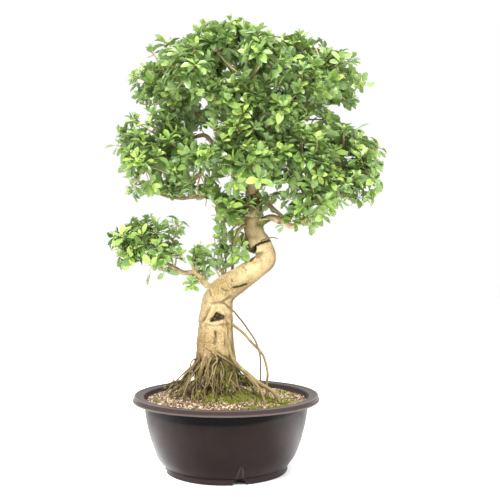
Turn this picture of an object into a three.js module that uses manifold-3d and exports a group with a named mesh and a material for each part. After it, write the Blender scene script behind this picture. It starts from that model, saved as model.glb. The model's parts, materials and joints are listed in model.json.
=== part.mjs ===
// Potted ficus bonsai: a ficus with an S-shaped trunk, exposed and aerial roots and a crown of
// small leaves, standing in gritty soil in a round plastic training pot.
// Millimetres, +Z up. The front of the tree faces -Y and its left side is at -X.
import * as THREE from 'three';
import { mergeVertices } from 'three/addons/utils/BufferGeometryUtils.js';
import Module from 'manifold-3d';

const wasm = await Module();
wasm.setup();

// Driving sizes
const RIM_DIAMETER = 356;
const POT_HEIGHT = 143;
const POT_WALL = 3;
const FOOT_DIAMETER = 234;
const FOOT_HEIGHT = 11;
const SOIL_EDGE_HEIGHT = 132;
const SOIL_MOUND = 20;
const LEAF_LENGTH = 34;
const LEAF_WIDTH = 20;
const SEAT_GAP = 0.35;

// The part's origin is below the middle of its whole outline. The pot's axis lies a little left
// of it, because the tree leans to the right.
const POT_PLACE = new THREE.Vector3(-40, 1.6, 0);
// Where the tree stands in the pot, from the pot's axis.
const TREE_FOOT = new THREE.Vector3(-23, 0, 0);

const POT_SEGMENTS = 32;
const GOLDEN_ANGLE = Math.PI * (3 - Math.sqrt(5));
const UP = new THREE.Vector3(0, 0, 1);

const colours = {
  pot: { color: 0x43302c, roughness: 0.45, metalness: 0 },
  soil: { color: 0x9c8468, roughness: 0.95, metalness: 0 },
  bark: { color: 0xc9b07c, roughness: 0.8, metalness: 0 },
  leaf: { color: 0x4f8a2c, roughness: 0.4, metalness: 0 },
};

// Repeatable random numbers between 0 and 1
function randomStream(seed) {
  let state = seed;
  return () => {
    state = (state * 16807) % 2147483647;
    return state / 2147483647;
  };
}

function point(values) {
  return new THREE.Vector3(values[0], values[1], values[2]);
}

// Solids and meshes
function geometryFrom(vertices, faces) {
  const geometry = new THREE.BufferGeometry();
  const positions = vertices.flatMap((vertex) => [vertex.x, vertex.y, vertex.z]);
  geometry.setAttribute('position', new THREE.Float32BufferAttribute(positions, 3));
  geometry.setIndex(faces.flat());
  return geometry;
}

function solidFrom(geometry) {
  geometry.deleteAttribute('normal');
  geometry.deleteAttribute('uv');
  const merged = mergeVertices(geometry, 1e-4);
  const mesh = new wasm.Mesh({
    numProp: 3,
    vertProperties: merged.attributes.position.array,
    triVerts: new Uint32Array(merged.index.array),
  });
  return new wasm.Manifold(mesh);
}

function geometryOf(solid) {
  const mesh = solid.getMesh();
  const geometry = new THREE.BufferGeometry();
  geometry.setAttribute('position', new THREE.BufferAttribute(new Float32Array(mesh.vertProperties), 3));
  geometry.setIndex(new THREE.BufferAttribute(new Uint32Array(mesh.triVerts), 1));
  return geometry;
}

function joined(solids) {
  return solids.reduce((whole, piece) => whole.add(piece));
}

function namedMesh(name, geometry, look) {
  geometry.computeVertexNormals();
  const mesh = new THREE.Mesh(geometry, new THREE.MeshStandardMaterial(look));
  mesh.name = name;
  return mesh;
}

// A closed tapering tube along a route of [x, y, z, radius] rows. lobes(angle, along) swells the
// section; grow makes it that much bigger all round, for the plain hole it stands in.
function limbGeometry(rows, sides, steps, lobes = () => 1, grow = 0) {
  const path = new THREE.CatmullRomCurve3(rows.map(point), false, 'centripetal');
  const spans = rows.length - 1;
  const vertices = [];
  const faces = [];
  let side = null;
  for (let step = 0; step <= steps; step += 1) {
    const along = step / steps;
    const middle = path.getPoint(along);
    const heading = path.getTangent(along);
    if (side === null) {
      const helper = Math.abs(heading.z) > 0.9 ? new THREE.Vector3(1, 0, 0) : UP;
      side = new THREE.Vector3().crossVectors(helper, heading);
    }
    side.addScaledVector(heading, -side.dot(heading)).normalize();
    const other = new THREE.Vector3().crossVectors(heading, side);
    const row = Math.min(Math.floor(along * spans), spans - 1);
    const radius = THREE.MathUtils.lerp(rows[row][3], rows[row + 1][3], along * spans - row);
    for (let corner = 0; corner < sides; corner += 1) {
      const angle = (2 * Math.PI * corner) / sides;
      const reach = radius * lobes(angle, along) + grow;
      const vertex = middle.clone();
      vertex.addScaledVector(side, reach * Math.cos(angle));
      vertex.addScaledVector(other, reach * Math.sin(angle));
      vertices.push(vertex);
    }
    if (step > 0) {
      for (let corner = 0; corner < sides; corner += 1) {
        const next = (corner + 1) % sides;
        const low = (step - 1) * sides;
        const high = step * sides;
        faces.push([low + corner, low + next, high + next]);
        faces.push([low + corner, high + next, high + corner]);
      }
    }
  }
  const foot = vertices.length;
  vertices.push(path.getPoint(0).addScaledVector(path.getTangent(0), -grow));
  vertices.push(path.getPoint(1).addScaledVector(path.getTangent(1), grow));
  for (let corner = 0; corner < sides; corner += 1) {
    const next = (corner + 1) % sides;
    const last = steps * sides;
    faces.push([foot, next, corner]);
    faces.push([foot + 1, last + corner, last + next]);
  }
  return geometryFrom(vertices, faces);
}

// Pot: the outline is turned round the axis, from the floor's underside out over the rim and
// back down the inside.
const RIM_RADIUS = RIM_DIAMETER / 2;
const FOOT_RADIUS = FOOT_DIAMETER / 2;
const FLOOR_UNDERSIDE = 9;
const FLOOR_TOP = FLOOR_UNDERSIDE + POT_WALL;
const FLANGE_WIDTH = 20;
const OPENING_RADIUS = RIM_RADIUS - FLANGE_WIDTH;
// Outer wall as [radius, height] from the groove above the foot to the flange
const WALL_OUTSIDE = [
  [119.5, 12],
  [136.5, 40],
  [149.5, 80],
  [157, 131],
];
const WALL_INSIDE = [
  [OPENING_RADIUS - 4, 128],
  [149.5 - POT_WALL, 80],
  [136.5 - POT_WALL, 40],
  [117, FLOOR_TOP + 1],
];

function makePot() {
  const outline = [
    [0, FLOOR_UNDERSIDE],
    [FOOT_RADIUS - 7, FLOOR_UNDERSIDE],
    [FOOT_RADIUS - 6, 0],
    [FOOT_RADIUS, 0],
    [FOOT_RADIUS - 1, FOOT_HEIGHT - 0.5],
    ...WALL_OUTSIDE,
    [RIM_RADIUS - 1, 133.5],
    [RIM_RADIUS, 136],
    [RIM_RADIUS - 3, POT_HEIGHT],
    [RIM_RADIUS - 8, POT_HEIGHT - 0.5],
    [OPENING_RADIUS, POT_HEIGHT - 1.5],
    ...WALL_INSIDE,
    [0, FLOOR_TOP + 1],
  ];
  const profile = outline.map(([radius, height]) => new THREE.Vector2(radius, height));
  const turned = new THREE.LatheGeometry(profile, POT_SEGMENTS);
  turned.rotateX(Math.PI / 2);
  let pot = solidFrom(turned);
  for (const cutter of [...drainNotches(), ...drainHoles()]) {
    pot = pot.subtract(cutter);
  }
  return pot;
}

// Four arched notches let water out under the foot ring.
const NOTCH_WIDTH = 24;
const NOTCH_HEIGHT = 10;
const FIRST_NOTCH_ANGLE = THREE.MathUtils.degToRad(-77);

function drainNotches() {
  const arch = new THREE.Shape();
  arch.moveTo(-NOTCH_WIDTH / 2, -5);
  arch.lineTo(NOTCH_WIDTH / 2, -5);
  arch.lineTo(NOTCH_WIDTH / 2, 2);
  arch.absellipse(0, 2, NOTCH_WIDTH / 2, NOTCH_HEIGHT - 2, 0, Math.PI, false);
  const cutters = [];
  for (let quarter = 0; quarter < 4; quarter += 1) {
    const cutter = new THREE.ExtrudeGeometry(arch, { depth: 30, bevelEnabled: false, curveSegments: 2 });
    cutter.rotateX(Math.PI / 2);
    cutter.rotateZ(Math.PI / 2);
    cutter.translate(FOOT_RADIUS - 20, 0, 0);
    cutter.rotateZ(FIRST_NOTCH_ANGLE + (quarter * Math.PI) / 2);
    cutters.push(solidFrom(cutter));
  }
  return cutters;
}

const DRAIN_HOLE_RADIUS = 7;
const DRAIN_CIRCLE_RADIUS = 70;

function drainHoles() {
  const places = [[0, 0]];
  for (let quarter = 0; quarter < 4; quarter += 1) {
    const angle = FIRST_NOTCH_ANGLE + Math.PI / 4 + (quarter * Math.PI) / 2;
    places.push([DRAIN_CIRCLE_RADIUS * Math.cos(angle), DRAIN_CIRCLE_RADIUS * Math.sin(angle)]);
  }
  return places.map(([x, y]) => {
    const bore = new THREE.CylinderGeometry(DRAIN_HOLE_RADIUS, DRAIN_HOLE_RADIUS, 20, 6);
    bore.rotateX(Math.PI / 2);
    bore.translate(x, y, FLOOR_TOP);
    return solidFrom(bore);
  });
}

// Tree: every route is [x, y, z, radius] from the pot's axis.
const TRUNK = [
  [-23, 0, 100, 40],
  [-23, -2, 140, 80],
  [-23, -2, 160, 62],
  [-23, -2, 184, 44],
  [-23, 0, 212, 35],
  [-22, 0, 245, 32.5],
  [-20, 0, 280, 31.5],
  [-18, 0, 312, 28.5],
  [-8, 0, 337, 26.5],
  [22, 3, 359, 23.5],
  [52, 9, 380, 21.5],
  [76, 13, 402, 20],
  [70, 9, 426, 19],
  [56, 0, 445, 18.5],
  [51, -3, 470, 18.5],
  [50, -3, 498, 19],
];
const TRUNK_SIDES = 13;
const TRUNK_STEPS = 20;

// The foot flares into rounded buttresses; higher up only a faint fluting is left.
function trunkLobes(angle, along) {
  const flare = Math.max(0, 1 - along * 4.2);
  return 1 + (0.03 + 0.05 * flare) * Math.cos(5 * angle + 1) + 0.03 * Math.cos(2 * angle + 9 * along);
}

const LIMBS = {
  crown_leader: [
    [50, -3, 480, 15],
    [49, 0, 545, 12],
    [45, 2, 610, 10],
    [41, 0, 663, 8],
    [42, 0, 706, 6.5],
    [28, 0, 752, 4],
  ],
  crown_left: [
    [49, 0, 540, 9],
    [18, 5, 585, 8],
    [-6, 8, 640, 7],
    [-40, 12, 668, 6],
    [-80, 18, 700, 5],
    [-108, 20, 724, 3],
  ],
  crown_right: [
    [45, 2, 615, 8],
    [84, 0, 652, 7.5],
    [118, -5, 693, 6.5],
    [150, -3, 726, 5],
    [180, 4, 744, 4],
    [200, 10, 752, 2.5],
  ],
  crown_front: [
    [49, 0, 520, 8],
    [47, -34, 585, 7],
    [45, -42, 650, 5.5],
    [42, -52, 700, 4.5],
    [46, -60, 730, 3],
  ],
  crown_back: [
    [49, 0, 530, 9],
    [42, 45, 600, 7.5],
    [36, 66, 660, 6],
    [34, 74, 710, 4.5],
    [40, 78, 742, 3],
  ],
  left_high: [
    [18, 5, 585, 6.5],
    [-20, 0, 615, 6],
    [-42, -4, 637, 5.5],
    [-66, -2, 630, 4.5],
    [-82, 4, 606, 3],
  ],
  left_low: [
    [48, 0, 500, 9],
    [8, 0, 512, 6.5],
    [-40, 3, 520, 4.5],
    [-90, 2, 518, 3.6],
    [-130, 0, 528, 3],
    [-136, -2, 540, 2.4],
  ],
  right_high: [
    [49, 0, 545, 9],
    [90, -2, 552, 8],
    [128, -4, 556, 7],
    [166, -6, 550, 5.5],
    [202, 4, 562, 3],
  ],
  right_low: [
    [52, -3, 462, 9],
    [84, -8, 479, 7.5],
    [106, -12, 472, 7],
    [126, -14, 463, 6.5],
    [150, -10, 478, 6],
    [186, 0, 512, 5],
    [212, 8, 538, 3],
  ],
  right_fork: [
    [58, -3, 520, 8],
    [84, -6, 500, 6.5],
    [102, -10, 485, 6],
    [118, -13, 468, 5],
  ],
  centre_front: [
    [46, -28, 560, 6],
    [36, -62, 575, 5],
    [26, -80, 582, 3],
  ],
  neck: [
    [48, -4, 466, 5],
    [30, -8, 472, 4],
    [17, -10, 476, 3],
  ],
  lower_left: [
    [-12, 0, 335, 8],
    [-38, -2, 352, 6],
    [-60, -3, 373, 5],
    [-82, 2, 374, 4.5],
    [-106, 12, 386, 4],
    [-130, 22, 398, 3.4],
    [-150, 16, 404, 2.5],
  ],
};

// Surface roots: angle seen from above in degrees (-90 is the front), height where it leaves the
// trunk, distance of its far end from the trunk's axis, side swing in degrees, thickness.
const SURFACE_ROOTS = [
  [-168, 196, 108, 8, 5],
  [-148, 208, 92, -6, 8],
  [-128, 222, 86, 10, 7],
  [-108, 230, 84, -14, 7.5],
  [-86, 214, 82, 10, 6],
  [-64, 205, 80, -8, 6],
  [-22, 208, 86, 12, 7],
  [22, 214, 86, -10, 7],
  [64, 220, 86, 12, 7],
  [106, 214, 86, -8, 7],
  [150, 206, 86, 10, 7],
];

// Roots that hang free of the trunk, and the long one that runs over the soil
const FREE_ROOTS = {
  aerial_thick: [
    [2, -14, 284, 4],
    [14, -20, 274, 3],
    [37, -22, 255, 2.7],
    [57, -24, 234, 2.6],
    [72, -26, 212, 2.5],
    [78, -28, 187, 2.4],
    [76, -28, 160, 2.4],
    [75, -28, 128, 2.2],
  ],
  aerial_thin: [
    [-8, -20, 320, 2.5],
    [6, -28, 310, 2],
    [28, -33, 286, 1.8],
    [53, -36, 251, 1.8],
    [64, -38, 218, 1.8],
    [65, -38, 176, 1.8],
    [64, -38, 128, 1.7],
  ],
  running_root: [
    [-10, -30, 236, 5],
    [8, -36, 213, 5],
    [30, -38, 194, 4.8],
    [52, -46, 176, 4.6],
    [76, -54, 163, 4.4],
    [94, -62, 148, 4],
    [104, -66, 126, 3],
  ],
  running_root_fork: [
    [38, -42, 190, 3],
    [52, -52, 174, 2.6],
    [66, -66, 158, 2.4],
    [74, -74, 128, 2],
  ],
  climbing_root: [
    [44, -6, 468, 4],
    [28, -14, 459, 3.4],
    [17, -8, 438, 3.2],
    [12, 14, 404, 3],
    [10, 30, 372, 3],
    [9, 30, 340, 3],
    [9, 14, 312, 3.2],
    [8, -2, 290, 4],
    [10, -4, 240, 5],
    [14, -6, 205, 6],
  ],
};

// A surface root starts inside the trunk, arches over the foot, meets the soil and ends in it.
const ROOT_START = 22;
const ROOT_ARCH_HEIGHT = 166;
const ROOT_SOIL_HEIGHT = 144;
const ROOT_END_HEIGHT = 126;

function surfaceRootRows([angle, height, distance, swing, thickness]) {
  const rows = [];
  // Distance from the trunk's axis, height, share of the swing, share of the thickness
  const drop = [
    [ROOT_START, height + 14, 0.1, 1.1],
    [distance * 0.46, height - 22, 0.45, 1],
    [distance * 0.78, ROOT_ARCH_HEIGHT, 0.9, 0.85],
    [distance, ROOT_SOIL_HEIGHT, 1, 0.62],
    [distance * 0.9, ROOT_END_HEIGHT, 1, 0.4],
  ];
  for (const [out, z, turn, taper] of drop) {
    const heading = THREE.MathUtils.degToRad(angle + swing * Math.sin(turn * Math.PI));
    const x = TREE_FOOT.x + out * Math.cos(heading);
    rows.push([x, out * Math.sin(heading), z, thickness * taper]);
  }
  return rows;
}

function woodPieces(grow) {
  const pieces = [limbGeometry(TRUNK, TRUNK_SIDES, TRUNK_STEPS, trunkLobes, grow)];
  for (const root of SURFACE_ROOTS) {
    pieces.push(limbGeometry(surfaceRootRows(root), 5, 5, undefined, grow));
  }
  for (const rows of Object.values(FREE_ROOTS)) {
    pieces.push(limbGeometry(rows, 4, rows.length, undefined, grow));
  }
  return pieces;
}

function makeTree() {
  const limbs = Object.values(LIMBS).map((rows) => limbGeometry(rows, 5, rows.length, undefined, 0));
  return joined([...woodPieces(0), ...limbs].map(solidFrom));
}

// Soil: fills the pot and rises towards the tree, with an uneven gritty top.
const MOUND_SPREAD = 85;
const NEAR_WAVE = 1.3;
const BROAD_WAVE = 0.9;
const SOIL_TOP_RINGS = [116, 72];

function soilHeight(x, y) {
  const away = Math.hypot(x - TREE_FOOT.x, y);
  const near = NEAR_WAVE * Math.sin(x * 0.31 + 1) * Math.cos(y * 0.27);
  const broad = BROAD_WAVE * Math.sin(x * 0.13 - y * 0.19);
  return SOIL_EDGE_HEIGHT + SOIL_MOUND * Math.exp(-((away / MOUND_SPREAD) ** 2)) + near + broad;
}

function makeSoil() {
  const vertices = [new THREE.Vector3(0, 0, FLOOR_TOP + 1 + SEAT_GAP)];
  const faces = [];
  const sideRings = WALL_INSIDE.map(([radius, height]) => [radius - SEAT_GAP, height]).reverse();
  sideRings[0][1] += SEAT_GAP;
  const rings = [...sideRings, ...SOIL_TOP_RINGS.map((radius) => [radius, null])];
  for (const [radius, height] of rings) {
    for (let segment = 0; segment < POT_SEGMENTS; segment += 1) {
      const angle = (2 * Math.PI * segment) / POT_SEGMENTS + Math.PI / 2;
      const x = radius * Math.cos(angle);
      const y = radius * Math.sin(angle);
      vertices.push(new THREE.Vector3(x, y, height === null ? soilHeight(x, y) : height));
    }
  }
  for (let segment = 0; segment < POT_SEGMENTS; segment += 1) {
    const next = (segment + 1) % POT_SEGMENTS;
    faces.push([0, 1 + next, 1 + segment]);
    for (let ring = 0; ring < rings.length - 1; ring += 1) {
      const low = 1 + ring * POT_SEGMENTS;
      const high = low + POT_SEGMENTS;
      faces.push([low + segment, low + next, high + next]);
      faces.push([low + segment, high + next, high + segment]);
    }
    const last = 1 + (rings.length - 1) * POT_SEGMENTS;
    faces.push([last + segment, last + next, vertices.length]);
  }
  vertices.push(new THREE.Vector3(0, 0, soilHeight(0, 0)));
  const filling = solidFrom(geometryFrom(vertices, faces));
  const holes = woodPieces(SEAT_GAP).map(solidFrom);
  return holes.reduce((soil, hole) => soil.subtract(hole), filling);
}

// Leafy sprays: their middles lie on the shells of these ellipsoids, the clouds of foliage, from
// the top down along a golden-angle spiral, each spray well apart from the earlier ones. lowest
// is how far round the underside they reach, from 1 to -1.
const CLOUDS = [
  { name: 'crown', centre: [36, 0, 738], radii: [184, 142, 54], lowest: -0.72, apart: 67 },
  { name: 'crown_top', centre: [12, -6, 792], radii: [46, 50, 30], lowest: 0.1, apart: 54 },
  { name: 'left', centre: [-126, -8, 592], radii: [50, 46, 50], lowest: -0.9, apart: 57 },
  { name: 'right', centre: [218, 5, 560], radii: [50, 46, 56], lowest: -0.9, apart: 60 },
  { name: 'right_front', centre: [136, -62, 586], radii: [36, 22, 30], lowest: -0.8, apart: 48 },
  { name: 'centre_front', centre: [26, -78, 576], radii: [56, 28, 52], lowest: -0.9, apart: 58 },
  { name: 'middle_front', centre: [34, -84, 672], radii: [84, 16, 14], lowest: -0.9, apart: 56 },
  { name: 'middle_back', centre: [45, 100, 604], radii: [100, 36, 44], lowest: -0.8, apart: 74 },
  { name: 'right_low', centre: [168, -35, 494], radii: [26, 16, 14], lowest: -0.6, apart: 44 },
  { name: 'lower_left', centre: [-150, -10, 422], radii: [38, 28, 26], lowest: -0.9, apart: 48 },
];
const SPIRAL_PLACES = 60;

// Single upright shoots: middle and heading
const SHOOTS = [
  { name: 'shoot_low', centre: [-48, -6, 400], heading: [-0.1, -0.2, 1] },
  { name: 'shoot_inner', centre: [-12, 20, 420], heading: [-0.3, 0, 1] },
  { name: 'shoot_neck', centre: [-2, -14, 490], heading: [-0.6, -0.4, 0.6] },
];

function sprayPlaces() {
  const places = [];
  for (const cloud of CLOUDS) {
    for (let index = 0; index < SPIRAL_PLACES; index += 1) {
      const rise = 1 - ((index + 0.5) / SPIRAL_PLACES) * (1 - cloud.lowest);
      const turn = index * GOLDEN_ANGLE;
      const around = Math.sqrt(1 - rise * rise);
      const way = new THREE.Vector3(around * Math.cos(turn), around * Math.sin(turn), rise);
      const centre = point(cloud.centre).add(way.clone().multiply(point(cloud.radii)));
      const outward = way.clone().divide(point(cloud.radii)).normalize();
      outward.addScaledVector(UP, 0.3).normalize();
      if (places.every((place) => place.centre.distanceTo(centre) > cloud.apart)) {
        places.push({ cloud: `${cloud.name}_spray`, centre, outward });
      }
    }
  }
  for (const shoot of SHOOTS) {
    places.push({ cloud: shoot.name, centre: point(shoot.centre), outward: point(shoot.heading).normalize() });
  }
  return places;
}

// A spray is a knot of twigs, from whose upper faces the leaves stand out as a rosette. The knot
// has the twelve corners and twenty faces of an icosahedron, whose first ten faces look along
// the spray's heading.
const FACE_RINGS = { top: [], upper: [], lower: [], bottom: [] };
for (let fifth = 0; fifth < 5; fifth += 1) {
  const high = 1 + fifth;
  const highNext = 1 + ((fifth + 1) % 5);
  const low = 6 + fifth;
  const lowNext = 6 + ((fifth + 1) % 5);
  FACE_RINGS.top.push([0, high, highNext]);
  FACE_RINGS.upper.push([high, low, highNext]);
  FACE_RINGS.lower.push([low, lowNext, highNext]);
  FACE_RINGS.bottom.push([11, lowNext, low]);
}
const LEAF_FACES = [...FACE_RINGS.top, ...FACE_RINGS.upper];
const BARE_FACES = [...FACE_RINGS.lower, ...FACE_RINGS.bottom];
const CORE_RADIUS = 20;
const CORNER_RISE = 0.45;
const CORNER_REACH = 0.89;
// Knots and leaves differ in size by up to this share either way.
const UNEVENNESS = 0.15;

function knotCorners(centre, outward, turn, random) {
  const across = new THREE.Vector3(1, 0, 0);
  if (Math.abs(outward.x) > 0.8) {
    across.set(0, 1, 0);
  }
  const side = new THREE.Vector3().crossVectors(across, outward).normalize();
  const other = new THREE.Vector3().crossVectors(outward, side);
  const corner = (rise, around, angle) => {
    const size = CORE_RADIUS * (1 - UNEVENNESS + 2 * UNEVENNESS * random());
    const place = centre.clone().addScaledVector(outward, size * rise);
    place.addScaledVector(side, size * around * Math.cos(angle + turn));
    return place.addScaledVector(other, size * around * Math.sin(angle + turn));
  };
  const fifth = (2 * Math.PI) / 5;
  const corners = [corner(1, 0, 0)];
  for (let index = 0; index < 5; index += 1) {
    corners.push(corner(CORNER_RISE, CORNER_REACH, index * fifth));
  }
  for (let index = 0; index < 5; index += 1) {
    corners.push(corner(-CORNER_RISE, CORNER_REACH, (index + 0.5) * fifth));
  }
  corners.push(corner(-1, 0, 0));
  return corners;
}

function faceFrame(corners, face) {
  const [a, b, c] = face.map((index) => corners[index]);
  const middle = a.clone().add(b).add(c).divideScalar(3);
  const normal = new THREE.Vector3().crossVectors(b.clone().sub(a), c.clone().sub(a)).normalize();
  return { middle, normal };
}

// A leaf blade: narrow stalk, widest past its middle, blunt tip. Its section is a shallow keel,
// [left edge, midrib below, right edge], and it droops towards its tip.
const STALK_WIDTH = 2.2;
const LEAF_SECTIONS = [
  [0.36, 0.72],
  [0.74, 0.96],
];
const LEAF_DROOP = 0.12;
const MIDRIB_DEPTH = 2.4;
// How much further a sharp edge moves out than a face does when a blade is grown
const SHARP_EDGE = 5;

function bladeRings(start, heading, upper, length, grow) {
  const right = new THREE.Vector3().crossVectors(upper, heading).normalize();
  const ring = (middle, halfWidth, depth) => [
    middle.clone().addScaledVector(right, -halfWidth - grow * SHARP_EDGE),
    middle.clone().addScaledVector(upper, -depth - 2 * grow),
    middle.clone().addScaledVector(right, halfWidth + grow * SHARP_EDGE),
  ];
  const along = (share) => {
    const place = start.clone().addScaledVector(heading, share * length);
    return place.addScaledVector(upper, -LEAF_DROOP * length * share * share + grow);
  };
  const rings = [ring(start.clone().addScaledVector(upper, grow), STALK_WIDTH / 2, STALK_WIDTH * 0.8)];
  for (const [share, fullness] of LEAF_SECTIONS) {
    const halfWidth = (fullness * LEAF_WIDTH * length) / LEAF_LENGTH / 2;
    rings.push(ring(along(share), halfWidth, MIDRIB_DEPTH));
  }
  return { rings, tip: along(1 + grow / length) };
}

// Faces between two rings of corners that run anticlockwise seen from the far one
function bandFaces(low, high) {
  return low.flatMap((corner, index) => {
    const next = (index + 1) % low.length;
    return [
      [corner, low[next], high[next]],
      [corner, high[next], high[index]],
    ];
  });
}

function closedTube(rings, tip) {
  const vertices = rings.flat();
  const faces = [];
  const ringIndices = rings.map((ring, level) => ring.map((_, index) => level * ring.length + index));
  faces.push([ringIndices[0][2], ringIndices[0][1], ringIndices[0][0]]);
  for (let level = 1; level < rings.length; level += 1) {
    faces.push(...bandFaces(ringIndices[level - 1], ringIndices[level]));
  }
  const last = ringIndices.at(-1);
  if (tip) {
    vertices.push(tip);
    const end = vertices.length - 1;
    last.forEach((corner, index) => faces.push([corner, last[(index + 1) % 3], end]));
  } else {
    faces.push(last);
  }
  return geometryFrom(vertices, faces);
}

// The twig that carries a spray: three-sided, from the knot's underside to just off the bark.
const TWIG_RADIUS = 1.9;
const TWIG_START = 2;
const TWIG_BEND = 0.35;

function twigRings(corners, face, grow, end) {
  const { middle, normal } = faceFrame(corners, face);
  const start = middle.clone().addScaledVector(normal, TWIG_START);
  const knee = start.clone().addScaledVector(normal, end.distanceTo(start) * TWIG_BEND);
  const curve = new THREE.QuadraticBezierCurve3(start, knee, end);
  let spokes = face.map((index) => corners[index].clone().sub(middle));
  return [0, 0.5, 1].map((share) => {
    const place = curve.getPoint(share);
    const heading = curve.getTangent(share);
    spokes = spokes.map((spoke) => spoke.clone().addScaledVector(heading, -spoke.dot(heading)).normalize());
    return spokes.map((spoke) => place.clone().addScaledVector(spoke, TWIG_RADIUS + grow));
  });
}

// Every place on the limbs where a twig could start, and the end of each limb
const STATIONS_PER_ROW = 5;
const LIMB_STATIONS = Object.values(LIMBS).flatMap((rows) => {
  const path = new THREE.CatmullRomCurve3(rows.map(point), false, 'centripetal');
  const spans = rows.length - 1;
  const count = spans * STATIONS_PER_ROW;
  const stations = [];
  for (let index = 2; index <= count; index += 1) {
    const along = index / count;
    const row = Math.min(Math.floor(along * spans), spans - 1);
    const radius = THREE.MathUtils.lerp(rows[row][3], rows[row + 1][3], along * spans - row);
    stations.push({ middle: path.getPoint(along), radius });
  }
  return stations;
});

function solidWithBox(geometry) {
  geometry.computeBoundingBox();
  return { box: geometry.boundingBox.clone(), solid: solidFrom(geometry) };
}

function clearOf(candidate, others) {
  return others.every(
    (other) => !candidate.box.intersectsBox(other.box) || candidate.solid.intersect(other.solid).isEmpty(),
  );
}

const MARGIN = 0.3;
const wood = { box: new THREE.Box3(), solid: makeTree() };
wood.box.setFromBufferAttribute(geometryOf(wood.solid).attributes.position);

// Lets a twig down towards a limb until it is just off the bark.
const SEAT_START = 4;
const SEAT_STEP = 0.15;

function seatedTwig(corners, face, station, way, taken) {
  let end = null;
  let lowest = null;
  for (let off = station.radius + SEAT_START; off > SEAT_STEP; off -= SEAT_STEP) {
    const reach = station.middle.clone().addScaledVector(way, off - MARGIN);
    const twig = solidWithBox(closedTube(twigRings(corners, face, MARGIN, reach), null));
    if (!clearOf(twig, [wood])) {
      break;
    }
    end = station.middle.clone().addScaledVector(way, off);
    lowest = twig;
  }
  return end !== null && clearOf(lowest, taken) ? end : null;
}

// The knots and twigs of all sprays are placed clear of the wood and of each other. A spray
// that finds no limb in reach is left out.
const SHORTEST_TWIG = 30;
const LONGEST_TWIG = 132;
const LEAST_FACING = 0.5;
const KNOT_CLEARANCE = 2.2;
// A limb that lies higher than this below the spray counts as further off.
const EASY_CLIMB = 10;
const CLIMB_COST = 3;
const KNOT_FACES = [...LEAF_FACES, ...BARE_FACES];

function twigFor(place, corners, taken) {
  const options = LIMB_STATIONS.map((station) => {
    const climb = Math.max(0, station.middle.z - place.centre.z + EASY_CLIMB);
    return { station, cost: station.middle.distanceTo(place.centre) + CLIMB_COST * climb };
  });
  options.sort((first, second) => first.cost - second.cost);
  for (const { station, cost } of options) {
    const way = place.centre.clone().sub(station.middle).normalize();
    const facing = (face) => -faceFrame(corners, face).normal.dot(way);
    const face = BARE_FACES.reduce((best, other) => (facing(other) > facing(best) ? other : best));
    if (cost > SHORTEST_TWIG && cost < LONGEST_TWIG && facing(face) > LEAST_FACING) {
      const end = seatedTwig(corners, face, station, way, taken);
      if (end !== null) {
        return { face, end };
      }
    }
  }
  return null;
}

const FIRST_SEED = 101;
const SEED_STEP = 17;

function plannedSprays() {
  const planned = [];
  const taken = [wood];
  const counts = {};
  sprayPlaces().forEach((place, order) => {
    const random = randomStream(FIRST_SEED + SEED_STEP * order);
    const corners = knotCorners(place.centre, place.outward, order * GOLDEN_ANGLE, random);
    const swollen = corners.map((corner) => corner.clone().lerp(place.centre, -KNOT_CLEARANCE / CORE_RADIUS));
    const knot = solidWithBox(geometryFrom(swollen, KNOT_FACES));
    const carrier = clearOf(knot, taken) ? twigFor(place, corners, taken) : null;
    if (carrier !== null) {
      counts[place.cloud] = (counts[place.cloud] ?? 0) + 1;
      const name = place.cloud.endsWith('spray') ? `${place.cloud}_${counts[place.cloud]}` : place.cloud;
      const twig = solidWithBox(closedTube(twigRings(corners, carrier.face, MARGIN, carrier.end), null));
      const { face: twigFace, end } = carrier;
      planned.push({ ...place, name, corners, knot, random, twigFace, end, blades: new Map() });
      taken.push(knot, twig);
    }
  });
  return { planned, taken };
}

// Then the leaves: each stands out of its face, tilted towards the spray's heading, and turns a
// little until it is clear of all its neighbours.
const LEAF_TILTS = [0, 0.3, -0.3, 0.55, -0.55];
const LEAF_LIFT = 1.6;
const TOP_LEAN = -0.25;
const SIDE_LEAN = 0.1;

function addLeaves(planned, taken) {
  LEAF_FACES.forEach((face) => {
    const lean = FACE_RINGS.top.includes(face) ? TOP_LEAN : SIDE_LEAN;
    for (const spray of planned) {
      const { middle, normal } = faceFrame(spray.corners, face);
      const length = LEAF_LENGTH * (1 - UNEVENNESS + 2 * UNEVENNESS * spray.random());
      const tangent = spray.outward.clone().addScaledVector(normal, -spray.outward.dot(normal)).normalize();
      const start = middle.clone().addScaledVector(normal, LEAF_LIFT);
      for (const tilt of LEAF_TILTS) {
        const heading = normal.clone().addScaledVector(tangent, tilt + lean).normalize();
        const upper = spray.outward.clone().addScaledVector(heading, -spray.outward.dot(heading)).normalize();
        const grown = bladeRings(start, heading, upper, length, MARGIN);
        const blade = solidWithBox(closedTube(grown.rings, grown.tip));
        if (clearOf(blade, taken.filter((piece) => piece !== spray.knot))) {
          spray.blades.set(face, bladeRings(start, heading, upper, length, 0));
          taken.push(blade);
          break;
        }
      }
    }
  });
}

// Turns a face's corners so that each stands nearest to the ring's corners that it is joined to.
function matchedRing(corners, face, ring) {
  const turned = (shift) => face.map((_, order) => face[(order + shift) % 3]);
  const spread = (low) => {
    return low.reduce((sum, index, order) => {
      const corner = corners[index];
      return sum + corner.distanceTo(ring[order]) + corner.distanceTo(ring[(order + 1) % 3]);
    }, 0);
  };
  return [0, 1, 2].map(turned).reduce((best, low) => (spread(low) < spread(best) ? low : best));
}

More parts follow.
